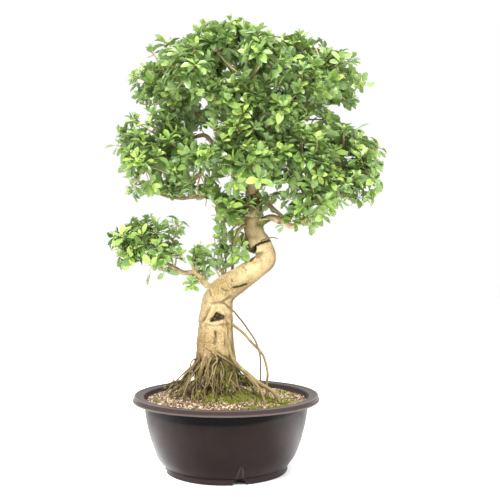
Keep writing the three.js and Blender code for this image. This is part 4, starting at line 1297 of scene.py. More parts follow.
def trunk_stains_and_shade(places, normals, low, marked):
    """How dark and how mossy the bark is at each place. The bark above the seam, near the soil and towards
    the foot is darker, and painted shade darkens the marks, the bark's hollows, the recess under the roots,
    the undersides and the left and right sides.
    """
    x, z = places[:, 0], places[:, 2]
    # Painted shade in the hollows of the low bark, where the same noise that lifts the bark sinks it
    pit_shade = -0.16 - soft_noise(places, 11, 2) * 0.35 * low - soft_noise(places, 4.5, 3) * 0.3 * low
    dark = np.maximum(np.clip(pit_shade, 0, 1), marked)
    away = z - soil_height(x, places[:, 1])
    grow = soft_noise(places, 16, 14) + 0.6 * soft_noise(places, 5, 15)
    foot = np.exp(-np.clip(away, 0, None) / 20)
    leftness = smoothstep(0.3, -0.9, (x - TREE_FOOT[0]) / 60)
    reach = np.hypot(x - TREE_FOOT[0], places[:, 1] + 2) / flare_radius(z, leftness)
    # Moss and painted shade in the recess under the arching roots, up to a ragged line over the front
    moss_and_shade_top = np.interp(x, *np.array(MOSS_AND_SHADE_TOP).T) + 9 * soft_noise(places, 9, 18)
    hollow = (0.55 + 0.45 * smoothstep(1.12, 0.92, reach)) * smoothstep(7, -7, z - moss_and_shade_top)
    moss = smoothstep(0.45, 1.1, 0.7 * grow + 0.6 * foot + 0.75 * hollow)
    seam = np.interp(x, *np.array(SEAM).T)
    high = 0.28 + 0.2 * smoothstep(74, 44, x) + 0.65 * smoothstep(462, 500, z)
    top = smoothstep(-2, 3, z - seam) * (high + 0.35 * soft_noise(places, 12, 17))
    # Painted shade on the undersides of the bend and on the trunk's left and right sides
    below = smoothstep(0.1, -0.8, normals[:, 2]) * smoothstep(300, 320, z)
    edge = smoothstep(0.5, 0.95, np.abs(normals[:, 0])) * smoothstep(190, 220, z)
    ragged = 0.75 + 0.5 * soft_noise(places, 5, 16)
    # The painted shade of the recess, the undersides and the sides, with darker bark above the seam and near
    # the soil
    dark += ragged * hollow + 0.15 * foot + 0.78 * top + 0.48 * below + 0.46 * edge
    # Darker towards the foot
    dark += 0.46 * smoothstep(228, 176, z)
    return np.clip(dark, 0, 1), np.maximum(moss, 0.36 * top)


def build_trunk(settings):
    """Trunk and surface roots as one skin, with its furrows, ridges and rough bark in relief."""
    route = smooth_route(TRUNK, 150)
    mesh = trunk_skin(settings, route)
    points, normals = points_of(mesh)
    places = (points - POT_AXIS) / MM
    along = nearest_station(places, route) / (len(route) - 1)
    low = 1 - smoothstep(205, 330, places[:, 2])
    depth, marked = trunk_marks(places, normals)
    dark, moss = trunk_stains_and_shade(places, normals, low, marked)
    lift = trunk_lift(places, along, low) - depth
    points += normals * (lift * MM)[:, None]
    mesh.vertices.foreach_set("co", points.astype(np.float32).ravel())
    set_attribute(mesh, "dark", dark)
    set_attribute(mesh, "moss", moss)
    set_attribute(mesh, "speckled", smoothstep(290, 265, places[:, 2]))
    mesh.update()
    material = bark_finish("trunk_bark", settings.bark_colour, settings.shaded_colour, settings.moss_colour)
    finish_piece("trunk_and_roots", mesh, material, "bark", "tree")


def thin_root(random):
    """A thin root that leaves the foot at some height and wanders down to the soil."""
    turn = math.radians(random.uniform(0, 360) if random.rand() < 0.4 else random.uniform(-175, -15))
    height = random.uniform(160, 218)
    swing = math.radians(random.uniform(-38, 38))
    thickness = random.uniform(0.8, 1.9)
    leftness = smoothstep(0.3, -0.9, math.cos(turn))
    rows = []
    for share in (0, 0.25, 0.5, 0.75, 1):
        z = height + (134 - height) * share
        out = flare_radius(z, leftness) * (0.98 + 0.1 * random.rand()) - 1.5 + 4 * share
        heading = turn + swing * share + random.normal(0, 0.1)
        x, y = TREE_FOOT[0] + out * math.cos(heading), out * math.sin(heading)
        rows.append([x, y, z, thickness * (1 - 0.3 * share)])
    return smooth_route(rows, 30)


def build_limbs(settings):
    """Limbs, and the roots that hang free or run over the soil."""
    material = bark_finish("limb_bark", *LIMB_BARK, settings.moss_colour)
    routes = []
    for order, (name, rows) in enumerate(LIMBS.items()):
        route = smooth_route(rows, 14 * (len(rows) - 1))
        route[:, 3] *= LIMB_THINNING.get(name, 1) * (1 + 0.5 * np.exp(-np.arange(len(route)) / 4))
        route[:, :3] += 1.2 * soft_noise(route[:, :3], 30, 30 + order)[:, None]
        routes.append((route, 0.0, 0.45 if name in DARK_LIMBS else 0.08))
    finish_piece("limbs", sleeve("limbs", routes, 12, 0.5, material), material, "bark", "tree")
    material = bark_finish("root_bark", *ROOT_BARK, settings.moss_colour)
    routes = []
    for order, (name, rows) in enumerate(FREE_ROOTS.items()):
        route = smooth_route(rows, 14 * (len(rows) - 1))
        route[:, :3] += soft_noise(route[:, :3], 22, 50 + order)[:, None] * 0.9
        routes.append((route, *ROOT_LOOKS.get(name, USUAL_ROOT_LOOK)))
    random = stream(31)
    for root in FRONT_ROOTS:
        route = smooth_route(front_root_rows(*root), 44)
        route[:, 3] *= FRONT_ROOT_THINNING
        routes.append((route, 0.25 * random.rand(), 0.3 * random.rand()))
    for _ in range(settings.thin_roots):
        route = thin_root(random)
        routes.append((route, 0.6 * random.rand(), random.uniform(0.3, 0.85)))
    mesh = sleeve("hanging_roots", routes, 10, 0.45, material)
    finish_piece("hanging_roots", mesh, material, "bark", "tree")


def limb_stations():
    """Points along all the limbs, from which twigs can grow."""
    stations = []
    for rows in LIMBS.values():
        steps = 5 * (len(rows) - 1)
        stations.extend(smooth_route(rows, steps)[2:])
    return np.array(stations)


def spray_places():
    """Middle and heading of every leafy spray, from the rule that the solid parts follow."""
    places = []
    for cloud, (centre, radii, lowest, apart, _) in CLOUDS.items():
        radii = np.array(radii, float)
        for index in range(SPIRAL_PLACES):
            rise = 1 - ((index + 0.5) / SPIRAL_PLACES) * (1 - lowest)
            turn = index * GOLDEN_ANGLE
            around = math.sqrt(1 - rise * rise)
            way = np.array([around * math.cos(turn), around * math.sin(turn), rise])
            middle = np.array(centre) + way * radii
            outward = unit(unit(way / radii) + 0.3 * UP)
            if all(np.linalg.norm(middle - other) > apart for _, other, _ in places):
                places.append((cloud, middle, outward))
    for name, (centre, heading) in SHOOTS.items():
        places.append((name, np.array(centre, float), unit(np.array(heading, float))))
    return places


def cad_sprays():
    """The places that carry a spray in the solid parts."""
    nodes = {}
    for name in frame["nodes"]:
        if "spray" in name or name in SHOOTS:
            low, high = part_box(name)
            nodes[name] = (np.array((low + high) / 2) - POT_AXIS) / MM
    kept = []
    places = spray_places()
    for name, middle in nodes.items():
        cloud = name.rsplit("_spray_", 1)[0]
        options = [place for place in places if place[0] == cloud]
        kept.append((name, *min(options, key=lambda place: np.linalg.norm(place[1] - middle))))
    return kept


# Twiglets of a spray: angle from its heading in degrees, how many share that angle, reach
TWIGLETS = [(0, 1, 24), (40, 4, 30), (74, 6, 34), (106, 5, 32), (142, 2, 26)]
# Clouds whose twiglets reach further, and one whose upper twiglets are partly left out
SPREAD = {"left": 1.12, "right": 1.12, "right_low": 1.45, "lower_left": 1.1}
BARE = {"lower_left": 0.36}
# Tufts of leaves on twigs of their own: place, number of rosettes, reach
TUFTS = [
    ([-48, -30, 557], 9, 30), ([24, 12, 424], 6, 22), ([88, -12, 516], 7, 22), ([250, 4, 522], 6, 22),
    ([185, 0, 668], 5, 20), ([284, 6, 612], 5, 20), ([172, 0, 804], 4, 16), ([-66, -4, 353], 3, 9),
    ([-40, 4, 376], 2, 8), ([-138, 0, 792], 3, 16), ([-162, 4, 698], 3, 16), ([230, 6, 706], 3, 12),
    ([-140, 0, 756], 3, 14), ([-184, 0, 552], 3, 14), ([-96, -6, 400], 3, 14), ([4, -4, 442], 3, 14),
    ([-95, -4, 467], 3, 12), ([262, 5, 742], 3, 12), ([-41, -10, 845], 3, 9), ([238, 4, 514], 3, 12),
    ([-182, 0, 668], 3, 10), ([-172, 0, 750], 2, 8), ([-194, 2, 392], 2, 8), ([-216, 0, 446], 2, 9),
]
# Open places in the foliage, seen from the front: x, z, half width, half height
CLEARINGS = [
    (-42, 494, 26, 28), (-41, 635, 25, 20), (-147, 504, 22, 20), (-161, 383, 24, 16), (-221, 398, 12, 22),
    (-203, 374, 13, 12), (-46, 436, 26, 11), (-97, 838, 34, 18), (107, 842, 25, 14), (-216, 630, 9, 20),
    (249, 657, 10, 8), (301, 738, 26, 30), (-45, 697, 11, 14), (262, 702, 12, 14), (-154, 785, 18, 14),
    (206, 812, 16, 14), (210, 688, 22, 12), (-160, 671, 12, 9), (-112, 366, 13, 10), (-156, 557, 13, 9),
    (301, 563, 11, 11), (302, 622, 9, 11), (153, 457, 10, 8), (7, 555, 13, 12), (15, 462, 8, 8),
    (-107, 490, 10, 8), (-24, 404, 8, 8), (-206, 580, 9, 9), (-124, 484, 12, 11), (268, 726, 9, 8),
    (203, 476, 10, 9), (87, 530, 12, 9), (-90, 480, 9, 9), (-76, 408, 9, 8), (-65, 430, 9, 8),
    (119, 536, 9, 8), (-152, 519, 9, 8), (244, 498, 9, 8), (-192, 470, 8, 8),
]
# Leafy twigs inside the tree: limb, shares of its length between which they grow, number, reach
INNER_TWIGS = [
    ("left_low", 0.3, 1, 24, 24), ("neck", 0.2, 1, 9, 24), ("right_low", 0.35, 0.9, 12, 24),
    ("crown_left", 0.35, 1, 16, 34), ("crown_leader", 0.5, 1, 18, 36), ("crown_front", 0.35, 1, 14, 30),
    ("crown_right", 0.1, 1, 14, 30), ("crown_back", 0.3, 1, 10, 30), ("left_high", 0.2, 1, 10, 28),
    ("right_high", 0.2, 0.9, 10, 28), ("centre_front", 0.2, 1, 8, 24),
]
# How far leaves and twigs stay inside the box of the solid parts
LEAF_MARGIN, TWIG_MARGIN = 0.8, 2.5
# The outline of a leaf: share of its length, share of its full width there
LEAF_FULLNESS = [(0.0, 0.05), (0.16, 0.2), (0.42, 0.86), (0.68, 1.0), (0.88, 0.62)]
# The kinds of leaves: how far the tip droops, how steeply the halves fold up, and the bend sideways
LEAF_LOOKS = [(0.10, 0.20, 0.0), (0.22, 0.12, 0.05), (0.0, 0.30, -0.05), (0.32, 0.24, 0.02)]
# Fewest leaves of a rosette, on a spray and elsewhere, in how many sizes rosettes come from there
# on, and how many single leaves stand on each twiglet of a spray
SPRAY_ROSETTE, SMALL_ROSETTE, ROSETTE_SIZES, SINGLE_LEAVES = 8, 7, 4, 4
TWIG_STEPS, TWIG_TIP = 6, 0.75
LIMB_STEPS = 40
# Share of young leaves on the shoot at the neck, which grows as a spray does
NECK_YOUNG = 0.3


def blade(start, heading, upper, length, age, random):
    """One leaf: its base, the ways it points and faces, its length and its looks."""
    return {"start": start, "heading": heading, "upper": upper, "length": length, "age": age,
            "shade": random.rand(), "kind": random.randint(0, len(LEAF_LOOKS))}


def rosette(tip, axis, count, length, youth, random):
    """Leaves round a twig's tip: the outer ones spread wide, the inner ones stand up and are young."""
    side = square_to(np.array([0.3, 0.5, 0.8]) + random.normal(0, 0.4, 3), axis)
    other = np.cross(axis, side)
    leaves = []
    first = random.rand() * 2 * math.pi
    for k in range(count):
        inner = k / max(count - 1, 1)
        turn = first + k * GOLDEN_ANGLE
        lean = math.radians(84 - 56 * inner + random.normal(0, 11))
        around = side * math.cos(turn) + other * math.sin(turn)
        heading = unit(axis * math.cos(lean) + around * math.sin(lean) - 0.1 * (1 - inner) * UP)
        upper = square_to(axis + random.normal(0, 0.16, 3), heading)
        size = length * (1.08 - 0.42 * inner**1.5) * (0.78 + 0.5 * random.rand())
        age = np.clip(0.3 + random.normal(0, 0.24) + youth * inner, 0, 1)
        start = tip + axis * (inner * 5 - 3) + heading * 0.8
        leaves.append(blade(start, heading, upper, size, age, random))
    return leaves


def twig_between(start, tip, radii, sway, random):
    """A short twig with a slight bend halfway. radii are those at its start and at the bend."""
    knee = (start + tip) / 2 + random.normal(0, sway, 3)
    return smooth_route([[*start, radii[0]], [*knee, radii[1]], [*tip, TWIG_TIP]], TWIG_STEPS)


def grow_spray(cloud, middle, outward, young, order, stations, settings):
    """Twig routes and leaves of one spray."""
    random = stream(900 + order)
    gaps = np.linalg.norm(stations[:, :3] - middle, axis=1)
    cost = gaps + 3 * np.maximum(0, stations[:, 2] - middle[2] + 10)
    cost[gaps < 24] += 500
    foot = stations[cost.argmin()]
    hub = middle - outward * 4
    bend = (foot[:3] + hub) / 2 + np.array([0, 0, -6.0]) + random.normal(0, 3, 3)
    twigs = [smooth_route([[*foot[:3], 2.6], [*bend, 2.3], [*hub, 1.9]], 12)]
    leaves = []
    side = square_to(np.array([1.0, 0.2, 0.1]), outward)
    other = np.cross(outward, side)
    for angle, number, reach in TWIGLETS:
        first = random.rand() * 2 * math.pi
        for k in range(number):
            if random.rand() < (settings.bareness if angle > 90 else BARE.get(cloud, 0)):
                continue
            turn = first + k * 2 * math.pi / number + random.normal(0, 0.2)
            lean = math.radians(angle + random.normal(0, 8))
            around = side * math.cos(turn) + other * math.sin(turn)
            way = unit(outward * math.cos(lean) + around * math.sin(lean) + 0.22 * UP)
            length = reach * SPREAD.get(cloud, 1) * (0.5 + 0.95 * random.rand())
            tip = hub + way * length
            twigs.append(twig_between(hub, tip, (1.2, 1.0), 1.6, random))
            youth = (0.5 + 0.45 * random.rand()) if random.rand() < young else 0.35 * random.rand()
            size = settings.leaf_length / MM * (0.86 + 0.28 * random.rand())
            count = SPRAY_ROSETTE + random.randint(0, ROSETTE_SIZES)
            leaves += rosette(tip, unit(way + 0.85 * UP), count, size, youth, random)
            for extra in range(SINGLE_LEAVES):
                place = hub + way * length * (0.3 + 0.18 * extra)
                heading = unit(way * 0.4 + random.normal(0, 1, 3))
                upper = square_to(UP + 0.3 * outward, heading)
                leaves.append(blade(place, heading, upper, size * 0.95, 0.3 * random.rand(), random))
    return twigs, leaves


def grow_shoot(name, middle, outward, order, stations, settings):
    """Four slender stems that rise from a limb, with leaves in a spiral round them."""
    random = stream(700 + order)
    gaps = np.linalg.norm(stations[:, :3] - middle, axis=1)
    cost = gaps + 3 * np.maximum(0, stations[:, 2] - middle[2] + 20)
    foot = SHOOT_FEET.get(name, stations[cost.argmin()])
    twigs, leaves = [], []
    side = square_to(np.array([1.0, 0.2, 0.1]), outward)
    for aside, reach in SHOOT_STEMS:
        tip = middle + unit(outward + aside * side) * reach
        knee = (foot[:3] + tip) / 2 + side * aside * 16 + random.normal(0, 2, 3)
        route = smooth_route([[*foot[:3], 2.2], [*knee, 1.6], [*tip, 0.8]], SHOOT_STEPS)
        twigs.append(route)
        for k in range(SHOOT_LEAVES):
            share = 0.3 + 0.7 * k / (SHOOT_LEAVES - 1)
            place, ahead = route[int(share * SHOOT_STEPS)][:3], unit(route[-1][:3] - route[-4][:3])
            around = turn_about(ahead, k * GOLDEN_ANGLE + 3 * aside)
            heading = unit(ahead * (0.45 + 0.5 * share) + around)
            size = settings.leaf_length / MM * (1.35 - 0.4 * share) * (0.8 + 0.4 * random.rand())
            age = np.clip(0.25 + 0.6 * share**4 + random.normal(0, 0.15), 0, 1)
            upper = square_to(ahead + random.normal(0, 0.45, 3), heading)
            leaves.append(blade(place, heading, upper, size, age, random))
    return twigs, leaves


def grow_inner(limb, first, last, number, reach, order, settings):
    """Short leafy twigs straight from a limb, where its bark would otherwise lie bare."""
    random = stream(500 + order)
    route = smooth_route(LIMBS[limb], LIMB_STEPS)
    twigs, leaves = [], []
    for k in range(number):
        share = first + (last - first) * (k + random.rand()) / number
        start = route[int(LIMB_STEPS * share - 0.5)][:3]
        way = unit(random.normal(0, 1, 3) + 0.35 * UP)
        tip = start + way * reach * (0.5 + 0.6 * random.rand())
        twigs.append(twig_between(start, tip, (1.3, 1.0), 2, random))
        size = settings.leaf_length / MM * (0.84 + 0.28 * random.rand())
        count = SMALL_ROSETTE + random.randint(0, ROSETTE_SIZES)
        leaves += rosette(tip, unit(way + 0.85 * UP), count, size, 0.5 * random.rand(), random)
    return twigs, leaves


def grow_tuft(place, number, reach, order, stations, settings):
    """A few rosettes close together, on a twig from the nearest limb."""
    random = stream(300 + order)
    hub = np.array(place, float)
    gaps = np.linalg.norm(stations[:, :3] - hub, axis=1) + np.maximum(0, stations[:, 2] - hub[2])
    foot = stations[gaps.argmin()]
    bend = (foot[:3] + hub) / 2 + random.normal(0, 4, 3)
    twigs = [smooth_route([[*foot[:3], 2.2], [*bend, 1.8], [*hub, 1.5]], 12)]
    leaves = []
    for _ in range(number):
        way = unit(random.normal(0, 1, 3))
        tip = hub + way * reach * (0.4 + 0.6 * random.rand())
        twigs.append(twig_between(hub, tip, (1.1, 0.95), 1.6, random))
        size = settings.leaf_length / MM * (0.84 + 0.28 * random.rand()) * min(1, 0.4 + 0.03 * reach)
        count = SMALL_ROSETTE + random.randint(0, ROSETTE_SIZES)
        leaves += rosette(tip, unit(way + 0.8 * UP), count, size, 0.7 * random.rand(), random)
    return twigs, leaves


def is_clear(leaf):
    """Whether a leaf lies in none of the open places."""
    x, y, z = leaf["start"] + leaf["heading"] * leaf["length"] * 0.5
    nearness = EYE_DISTANCE / (EYE_DISTANCE + y)
    x, z = EYE_SIDE + (x - EYE_SIDE) * nearness, EYE_LEVEL + (z - EYE_LEVEL) * nearness
    return all(((x - cx) / wide) ** 2 + ((z - cz) / high) ** 2 > 1 for cx, cz, wide, high in CLEARINGS)


def turn_about(axis, angle):
    """A heading square to the axis, turned round it."""
    side = square_to(np.array([0.8, 0.5, 0.1]), axis)
    return side * math.cos(angle) + np.cross(axis, side) * math.sin(angle)


def leaf_shapes():
    """Four blades, one unit long and wide: thin closed solids, keeled along the midrib and drooping
    towards a blunt tip."""
    shapes = []
    for kind, (droop, fold, sway) in enumerate(LEAF_LOOKS):
        vertices, across, faces, under = [], [], [], []
        for along, full in LEAF_FULLNESS:
            half = full / 2
            middle = np.array([sway * math.sin(3 * along), along, -droop * along**2])
            vertices += [
                middle + [-half, 0, fold * half],
                middle,
                middle + [half, 0, fold * half],
                middle - [0, 0, 0.014 + 0.006 * full],
            ]
            across += [1, 0, 1, 0]
        tip = len(vertices)
        vertices.append([sway * math.sin(3), 1.0, -droop])
        across.append(0.1)
        for level in range(len(LEAF_FULLNESS) - 1):
            faces += band(level * 4, level * 4 + 4, 4, True)
            under += [False, False, True, True]
        last = tip - 4
        for k in range(4):
            faces.append((last + k, tip, last + (k + 1) % 4))
            under.append(k >= 2)
        faces.append(tuple(range(4)))
        under.append(True)
        mesh = mesh_from(f"leaf_{kind}", vertices, faces)
        rims = {frozenset((last, tip)), frozenset((last + 2, tip))}
        for start in range(0, last, 4):
            rims |= {frozenset((start, start + 4)), frozenset((start + 2, start + 6))}
        sharp = [frozenset(edge.vertices) in rims for edge in mesh.edges]
        mesh.edges.foreach_set("use_edge_sharp", sharp)
        set_attribute(mesh, "across", across)
        set_attribute(mesh, "underside", np.array(under, float), domain="FACE")
        shapes.append(mesh)
    return shapes


def inside_box(leaf, low, high):
    """Whether a whole blade lies inside the solid parts' box."""
    right = np.cross(leaf["heading"], leaf["upper"]) * leaf["length"] * 0.3
    tip = leaf["start"] + leaf["heading"] * leaf["length"] - leaf["upper"] * leaf["length"] * 0.2
    middle = leaf["start"] + leaf["heading"] * leaf["length"] * 0.7
    points = in_place(np.array([leaf["start"], tip, middle + right, middle - right, middle]))
    return bool((points > low).all() and (points < high).all())


def grow_clouds(settings):
    """The leaves of each cloud with the solid nodes that it stands for, and all the twigs."""
    stations = limb_stations()
    clouds, twigs = {}, []
    for order, (name, cloud, middle, outward) in enumerate(cad_sprays()):
        if cloud in CLOUDS or name == "shoot_neck":
            young = CLOUDS[cloud][4] if cloud in CLOUDS else NECK_YOUNG
            some, leaves = grow_spray(cloud, middle, outward, young, order, stations, settings)
        else:
            some, leaves = grow_shoot(name, middle, outward, order, stations, settings)
        group = clouds.setdefault(cloud if cloud in CLOUDS else "shoots", {"nodes": [], "leaves": []})
        group["nodes"].append(name)
        group["leaves"] += leaves
        twigs += some
    grown = [grow_inner(*row, order, settings) for order, row in enumerate(INNER_TWIGS)]
    grown += [grow_tuft(*row, order, stations, settings) for order, row in enumerate(TUFTS)]
    clouds["inner"] = {"nodes": [], "leaves": []}
    for some, leaves in grown:
        clouds["inner"]["leaves"] += leaves
        twigs += some
    return clouds, twigs


def build_foliage(settings):
    """Twigs and leaves: one piece of leaves for each cloud, and the twigs of them all."""
    low = np.array(CAD_BOX[0]) + LEAF_MARGIN * MM
    high = np.array(CAD_BOX[1]) - LEAF_MARGIN * MM
    clouds, twigs = grow_clouds(settings)
    lowest, highest = (low - POT_AXIS) / MM + TWIG_MARGIN, (high - POT_AXIS) / MM - TWIG_MARGIN
    for twig in twigs:
        twig[:, :3] = np.clip(twig[:, :3], lowest, highest)
    material = leaf_finish(settings)
    shapes = leaf_shapes()
    for cloud, group in clouds.items():
        leaves = [leaf for leaf in group["leaves"] if leaf["shade"] > settings.thinning]
        leaves = [leaf for leaf in leaves if inside_box(leaf, low, high) and is_clear(leaf)]
        attributes = {
            "turn": ([turn_of(leaf["heading"], leaf["upper"]) for leaf in leaves], "QUATERNION"),
            "size": ([leaf["length"] * MM for leaf in leaves], "FLOAT"),
            "kind": ([leaf["kind"] for leaf in leaves], "INT"),
            "age": ([leaf["age"] for leaf in leaves], "FLOAT"),
        }
        points = in_place(np.array([leaf["start"] for leaf in leaves]))
        sizes = {"Leaf width": settings.leaf_width, "Leaf length": 1.0}
        kinds = [shape.copy() for shape in shapes]
        mesh = set_shapes(cloud + "_leaves", points, attributes, kinds, material, sizes)
        finish_piece(cloud + "_leaves", mesh, material, "ficus_leaf", *group["nodes"])
    bark = bark_finish("twig_bark", *TWIG_BARK, TWIG_MOSS)
    mesh = sleeve("twigs", [(twig, 0.05, 0.0) for twig in twigs], 5, 0.3, bark)
    finish_piece("twigs", mesh, bark, "bark")


# Stage


def add_floor(settings):
    """The plain pale floor."""
    finish = Finish("pale_floor", 0.9, 0.1)
    finish.colour(finish.mix(finish.noise(3, 2), (0.97, 0.97, 0.97), (0.98, 0.98, 0.98)))
    half = settings.floor_size / 2
    corners = [(-half, -half, 0), (half, -half, 0), (half, half, 0), (-half, half, 0)]
    mesh = mesh_from("floor", corners, [(0, 1, 2, 3)], False)
    mesh.materials.append(finish.material)
    object_from("floor", mesh)


def add_surround(settings):
    """A white surround that is dimmer behind the camera and brighter overhead and at the sides."""
    world = bpy.data.worlds.new("soft_studio")
    world.use_nodes = True
    nodes, links = world.node_tree.nodes, world.node_tree.links
    parts = nodes.new("ShaderNodeSeparateXYZ")
    links.new(nodes.new("ShaderNodeTexCoord").outputs["Generated"], parts.inputs[0])
    fades = []
    for axis, low, high, start, end in (
        ("Y", -0.9, -0.1, settings.front, 1),
        ("Z", 0.3, 0.9, 1, settings.zenith),
        ("X", 0.36, 0.8, 1, settings.sides),
        ("X", -0.36, -0.8, 1, settings.sides),
    ):
        fade = nodes.new("ShaderNodeMapRange")
        for label, number in zip(RANGE_ENDS, (low, high, start, end)):
            fade.inputs[label].default_value = number
        links.new(parts.outputs[axis], fade.inputs["Value"])
        fades.append(fade.outputs[0])
    glow = fades[0]
    for fade in fades[1:]:
        product = nodes.new("ShaderNodeMath")
        product.operation = "MULTIPLY"
        links.new(glow, product.inputs[0])
        links.new(fade, product.inputs[1])
        glow = product.outputs[0]
    links.new(glow, nodes["Background"].inputs["Color"])
    nodes["Background"].inputs["Strength"].default_value = settings.surround
    bpy.context.scene.world = world


def add_light(name, kind, place, target, power):
    """A light that shines from its place towards the target."""
    lamp = bpy.data.lights.new(name, kind)
    lamp.energy = power
    holder = object_from(name, lamp)
    holder.location = place
    holder.rotation_euler = (Vector(target) - Vector(place)).to_track_quat("-Z", "Y").to_euler()
    return lamp


def add_lights(settings):
    """Three area lights on the tree, and a light on the floor at each side of the pot."""
    target = (POT_AXIS[0], POT_AXIS[1], LIT_HEIGHT)
    for name, (place, size, share) in STUDIO_LIGHTS.items():
        add_light(name, "AREA", place, target, settings.key_power * share).size = size
    for side, share in FLOOR_LIGHTS:
        place = (side * FLOOR_LIGHT_PLACE[0], *FLOOR_LIGHT_PLACE[1:])
        lit = (side * FLOOR_LIT_PLACE[0], *FLOOR_LIT_PLACE[1:])
        lamp = add_light("floor_light", "SPOT", place, lit, settings.floor_power * share)
        lamp.spot_size, lamp.spot_blend = FLOOR_LIGHT_ANGLE, FLOOR_LIGHT_BLEND
        lamp.shadow_soft_size = FLOOR_LIGHT_SIZE


def build_stage(settings):
    """Floor, surround, lights and camera."""
    add_floor(settings)
    add_surround(settings)
    add_lights(settings)
    lens = bpy.data.cameras.new("camera")
    lens.lens, lens.sensor_width, lens.shift_y = settings.lens, SENSOR_WIDTH, settings.rise
    lens.clip_start, lens.clip_end = 0.05, 50
    camera = object_from("camera", lens)
    camera.location = (POT_AXIS[0] + EYE_SIDE * MM, POT_AXIS[1] - settings.distance, settings.eye_height)
    camera.rotation_euler = (math.pi / 2, 0, 0)
    scene = bpy.context.scene
    scene.camera = camera
    scene.view_settings.view_transform = "Standard"
    scene.view_settings.look = "None"
    scene.view_settings.exposure = 0
    scene.view_settings.gamma = 1


# Sizes and colours that a user would change


def colour_setting(label, about, value):
    return FloatVectorProperty(name=label, description=about, default=value, subtype="COLOR", min=0, max=1)


def length_setting(label, about, value):
    return FloatProperty(name=label, description=about, default=value, min=0, unit="LENGTH")


def share_setting(label, about, value):
    return FloatProperty(name=label, description=about, default=value, min=0, max=1, subtype="FACTOR")


def number_setting(label, about, value):
    return FloatProperty(name=label, description=about, default=value, min=0)


def count_setting(label, about, value):
    return IntProperty(name=label, description=about, default=value, min=0)


class PotSettings(bpy.types.PropertyGroup):
    colour: colour_setting("Plastic", "Colour of the pot", (0.0138, 0.009, 0.0085))
    worn_colour: colour_setting("Worn plastic", "Colour of its paler places", (0.0185, 0.0125, 0.0118))
    # The rim's colour stands for its dust and a painted sheen, and for the painted highlights along its edges
    rim_colour: colour_setting("Rim", "Colour of the dusty rim", (0.15, 0.113, 0.104))
    roughness: share_setting("Roughness", "Roughness of the plastic", 0.32)


class SoilSettings(bpy.types.PropertyGroup):
    grains: number_setting("Grains per area", "Grains on a square metre", 106000)
    grain_size: length_setting("Grain size", "Typical grain", 0.0036)
    bed_sprigs: count_setting("Sprigs on the soil", "Most moss sprigs on the soil", 6000)
    foot_sprigs: count_setting("Sprigs on the foot", "Moss sprigs on the trunk", 1500)
    sprig_size: length_setting("Sprig size", "Height of a moss sprig", 0.0040)
    moss_colour: colour_setting("Moss", "Colour of the moss", (0.19, 0.205, 0.032))


class BarkSettings(bpy.types.PropertyGroup):
    bark_colour: colour_setting("Pale bark", "Colour of the bark's pale places", (0.58, 0.44, 0.225))
    shaded_colour: colour_setting("Dull bark", "Colour of its dull places", (0.31, 0.215, 0.08))
    moss_colour: colour_setting("Moss", "Colour of moss on the bark", (0.15, 0.16, 0.03))
    thin_roots: count_setting("Thin roots", "Thin roots round the foot", 44)
    root_thickness: share_setting("Root thickness", "Thickness of the surface roots as a share", 0.4)
    skin_step: length_setting("Skin step", "Size of the steps in the trunk's skin", 0.00175)


class LeafSettings(bpy.types.PropertyGroup):
    leaf_length: length_setting("Leaf length", "Length of a full-grown leaf", 0.0232)
    thinning: share_setting("Thinning", "Share of all leaves left out", 0.1)
    bareness: share_setting("Bareness", "Share of the lower twiglets left out", 0.2)
    leaf_width: share_setting("Leaf width", "Width as a share of the length", 0.5)
    old_colour: colour_setting("Old leaves", "Colour of the oldest leaves", (0.052, 0.122, 0.028))
    grown_colour: colour_setting("Grown leaves", "Colour of full-grown leaves", (0.215, 0.355, 0.076))
    young_colour: colour_setting("Young leaves", "Colour of new leaves", (0.43, 0.56, 0.12))


class StageSettings(bpy.types.PropertyGroup):
    floor_size: length_setting("Floor size", "Side of the floor", 14)
    surround: number_setting("Surround", "Strength of the white surround", 1.0)
    front: number_setting("Front", "Brightness of the surround behind the camera", 0.85)
    zenith: number_setting("Zenith", "Brightness of the surround overhead", 1.5)
    sides: number_setting("Sides", "Brightness of the surround at the sides", 1.7)
    floor_power: number_setting("Floor power", "Power of the lights on the floor beside the pot", 150)
    key_power: number_setting("Main light", "Power of the main light", 74)
    lens: FloatProperty(name="Lens", description="Focal length", default=52.53, unit="CAMERA")
    distance: length_setting("Distance", "From the camera to the pot's axis", EYE_DISTANCE * MM)
    eye_height: length_setting("Eye height", "Height of the camera", EYE_LEVEL * MM)
    rise: share_setting("Rise", "Upward shift of the picture", 0.034)


class BONSAI_OT_pot(bpy.types.Operator):
    """Builds the round training pot"""

    bl_idname = "bonsai.pot"
    bl_label = "Build the pot"

    def execute(self, context):
        build_pot(context.scene.bonsai_pot)
        return {"FINISHED"}


class BONSAI_OT_soil(bpy.types.Operator):
    """Builds the bed of soil"""

    bl_idname = "bonsai.soil"
    bl_label = "Build the soil"

    def execute(self, context):
        build_soil()
        return {"FINISHED"}


class BONSAI_OT_grit(bpy.types.Operator):
    """Scatters the grit over the soil"""

    bl_idname = "bonsai.grit"
    bl_label = "Scatter the grit"

    def execute(self, context):
        build_grit(context.scene.bonsai_soil)
        return {"FINISHED"}


class BONSAI_OT_trunk(bpy.types.Operator):
    """Builds the trunk and the roots round its foot"""

    bl_idname = "bonsai.trunk"
    bl_label = "Build the trunk"

    def execute(self, context):
        build_trunk(context.scene.bonsai_bark)
        return {"FINISHED"}


class BONSAI_OT_limbs(bpy.types.Operator):
    """Builds the limbs and the hanging roots"""

    bl_idname = "bonsai.limbs"
    bl_label = "Build the limbs"

    def execute(self, context):
        build_limbs(context.scene.bonsai_bark)
        return {"FINISHED"}


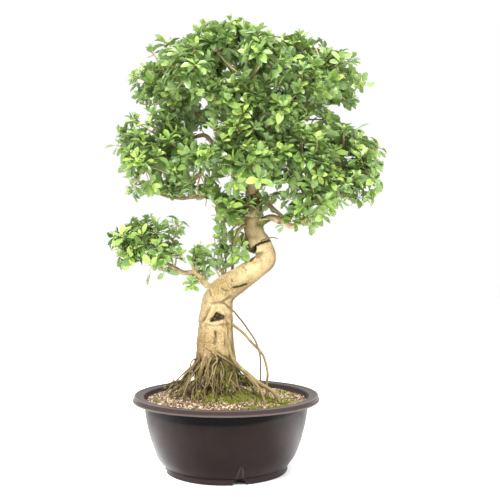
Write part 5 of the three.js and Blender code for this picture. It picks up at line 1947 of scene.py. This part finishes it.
class BONSAI_OT_moss(bpy.types.Operator):
    """Grows moss on the soil and on the tree's foot"""

    bl_idname = "bonsai.moss"
    bl_label = "Grow the moss"

    def execute(self, context):
        build_moss(context.scene.bonsai_soil)
        return {"FINISHED"}


class BONSAI_OT_foliage(bpy.types.Operator):
    """Grows the twigs and leaves"""

    bl_idname = "bonsai.foliage"
    bl_label = "Grow the leaves"

    def execute(self, context):
        build_foliage(context.scene.bonsai_leaf)
        return {"FINISHED"}


class BONSAI_OT_stage(bpy.types.Operator):
    """Sets up floor, light and camera"""

    bl_idname = "bonsai.stage"
    bl_label = "Set up the stage"

    def execute(self, context):
        build_stage(context.scene.bonsai_stage)
        return {"FINISHED"}


OPERATORS = (BONSAI_OT_stage, BONSAI_OT_pot, BONSAI_OT_soil, BONSAI_OT_grit, BONSAI_OT_trunk, BONSAI_OT_limbs,
             BONSAI_OT_moss, BONSAI_OT_foliage)
SETTINGS = {
    "bonsai_pot": PotSettings,
    "bonsai_soil": SoilSettings,
    "bonsai_bark": BarkSettings,
    "bonsai_leaf": LeafSettings,
    "bonsai_stage": StageSettings,
}


class BONSAI_PT_panel(bpy.types.Panel):
    """Sizes, colours and steps of the bonsai"""

    bl_label = "Potted ficus bonsai"
    bl_idname = "BONSAI_PT_panel"
    bl_space_type = "VIEW_3D"
    bl_region_type = "UI"
    bl_category = "Bonsai"

    def draw(self, context):
        for name, group in SETTINGS.items():
            box = self.layout.box()
            for field in group.__annotations__:
                box.prop(getattr(context.scene, name), field)
        for operator in OPERATORS:
            self.layout.operator(operator.bl_idname)


CLASSES = (*SETTINGS.values(), *OPERATORS, BONSAI_PT_panel)


def register():
    for item in CLASSES:
        bpy.utils.register_class(item)
    for name, group in SETTINGS.items():
        setattr(bpy.types.Scene, name, PointerProperty(type=group))


def unregister():
    for name in SETTINGS:
        delattr(bpy.types.Scene, name)
    for item in reversed(CLASSES):
        bpy.utils.unregister_class(item)


def main():
    register()
    for operator in OPERATORS:
        family, name = operator.bl_idname.split(".")
        getattr(getattr(bpy.ops, family), name)()


if __name__ == "__main__":
    main()
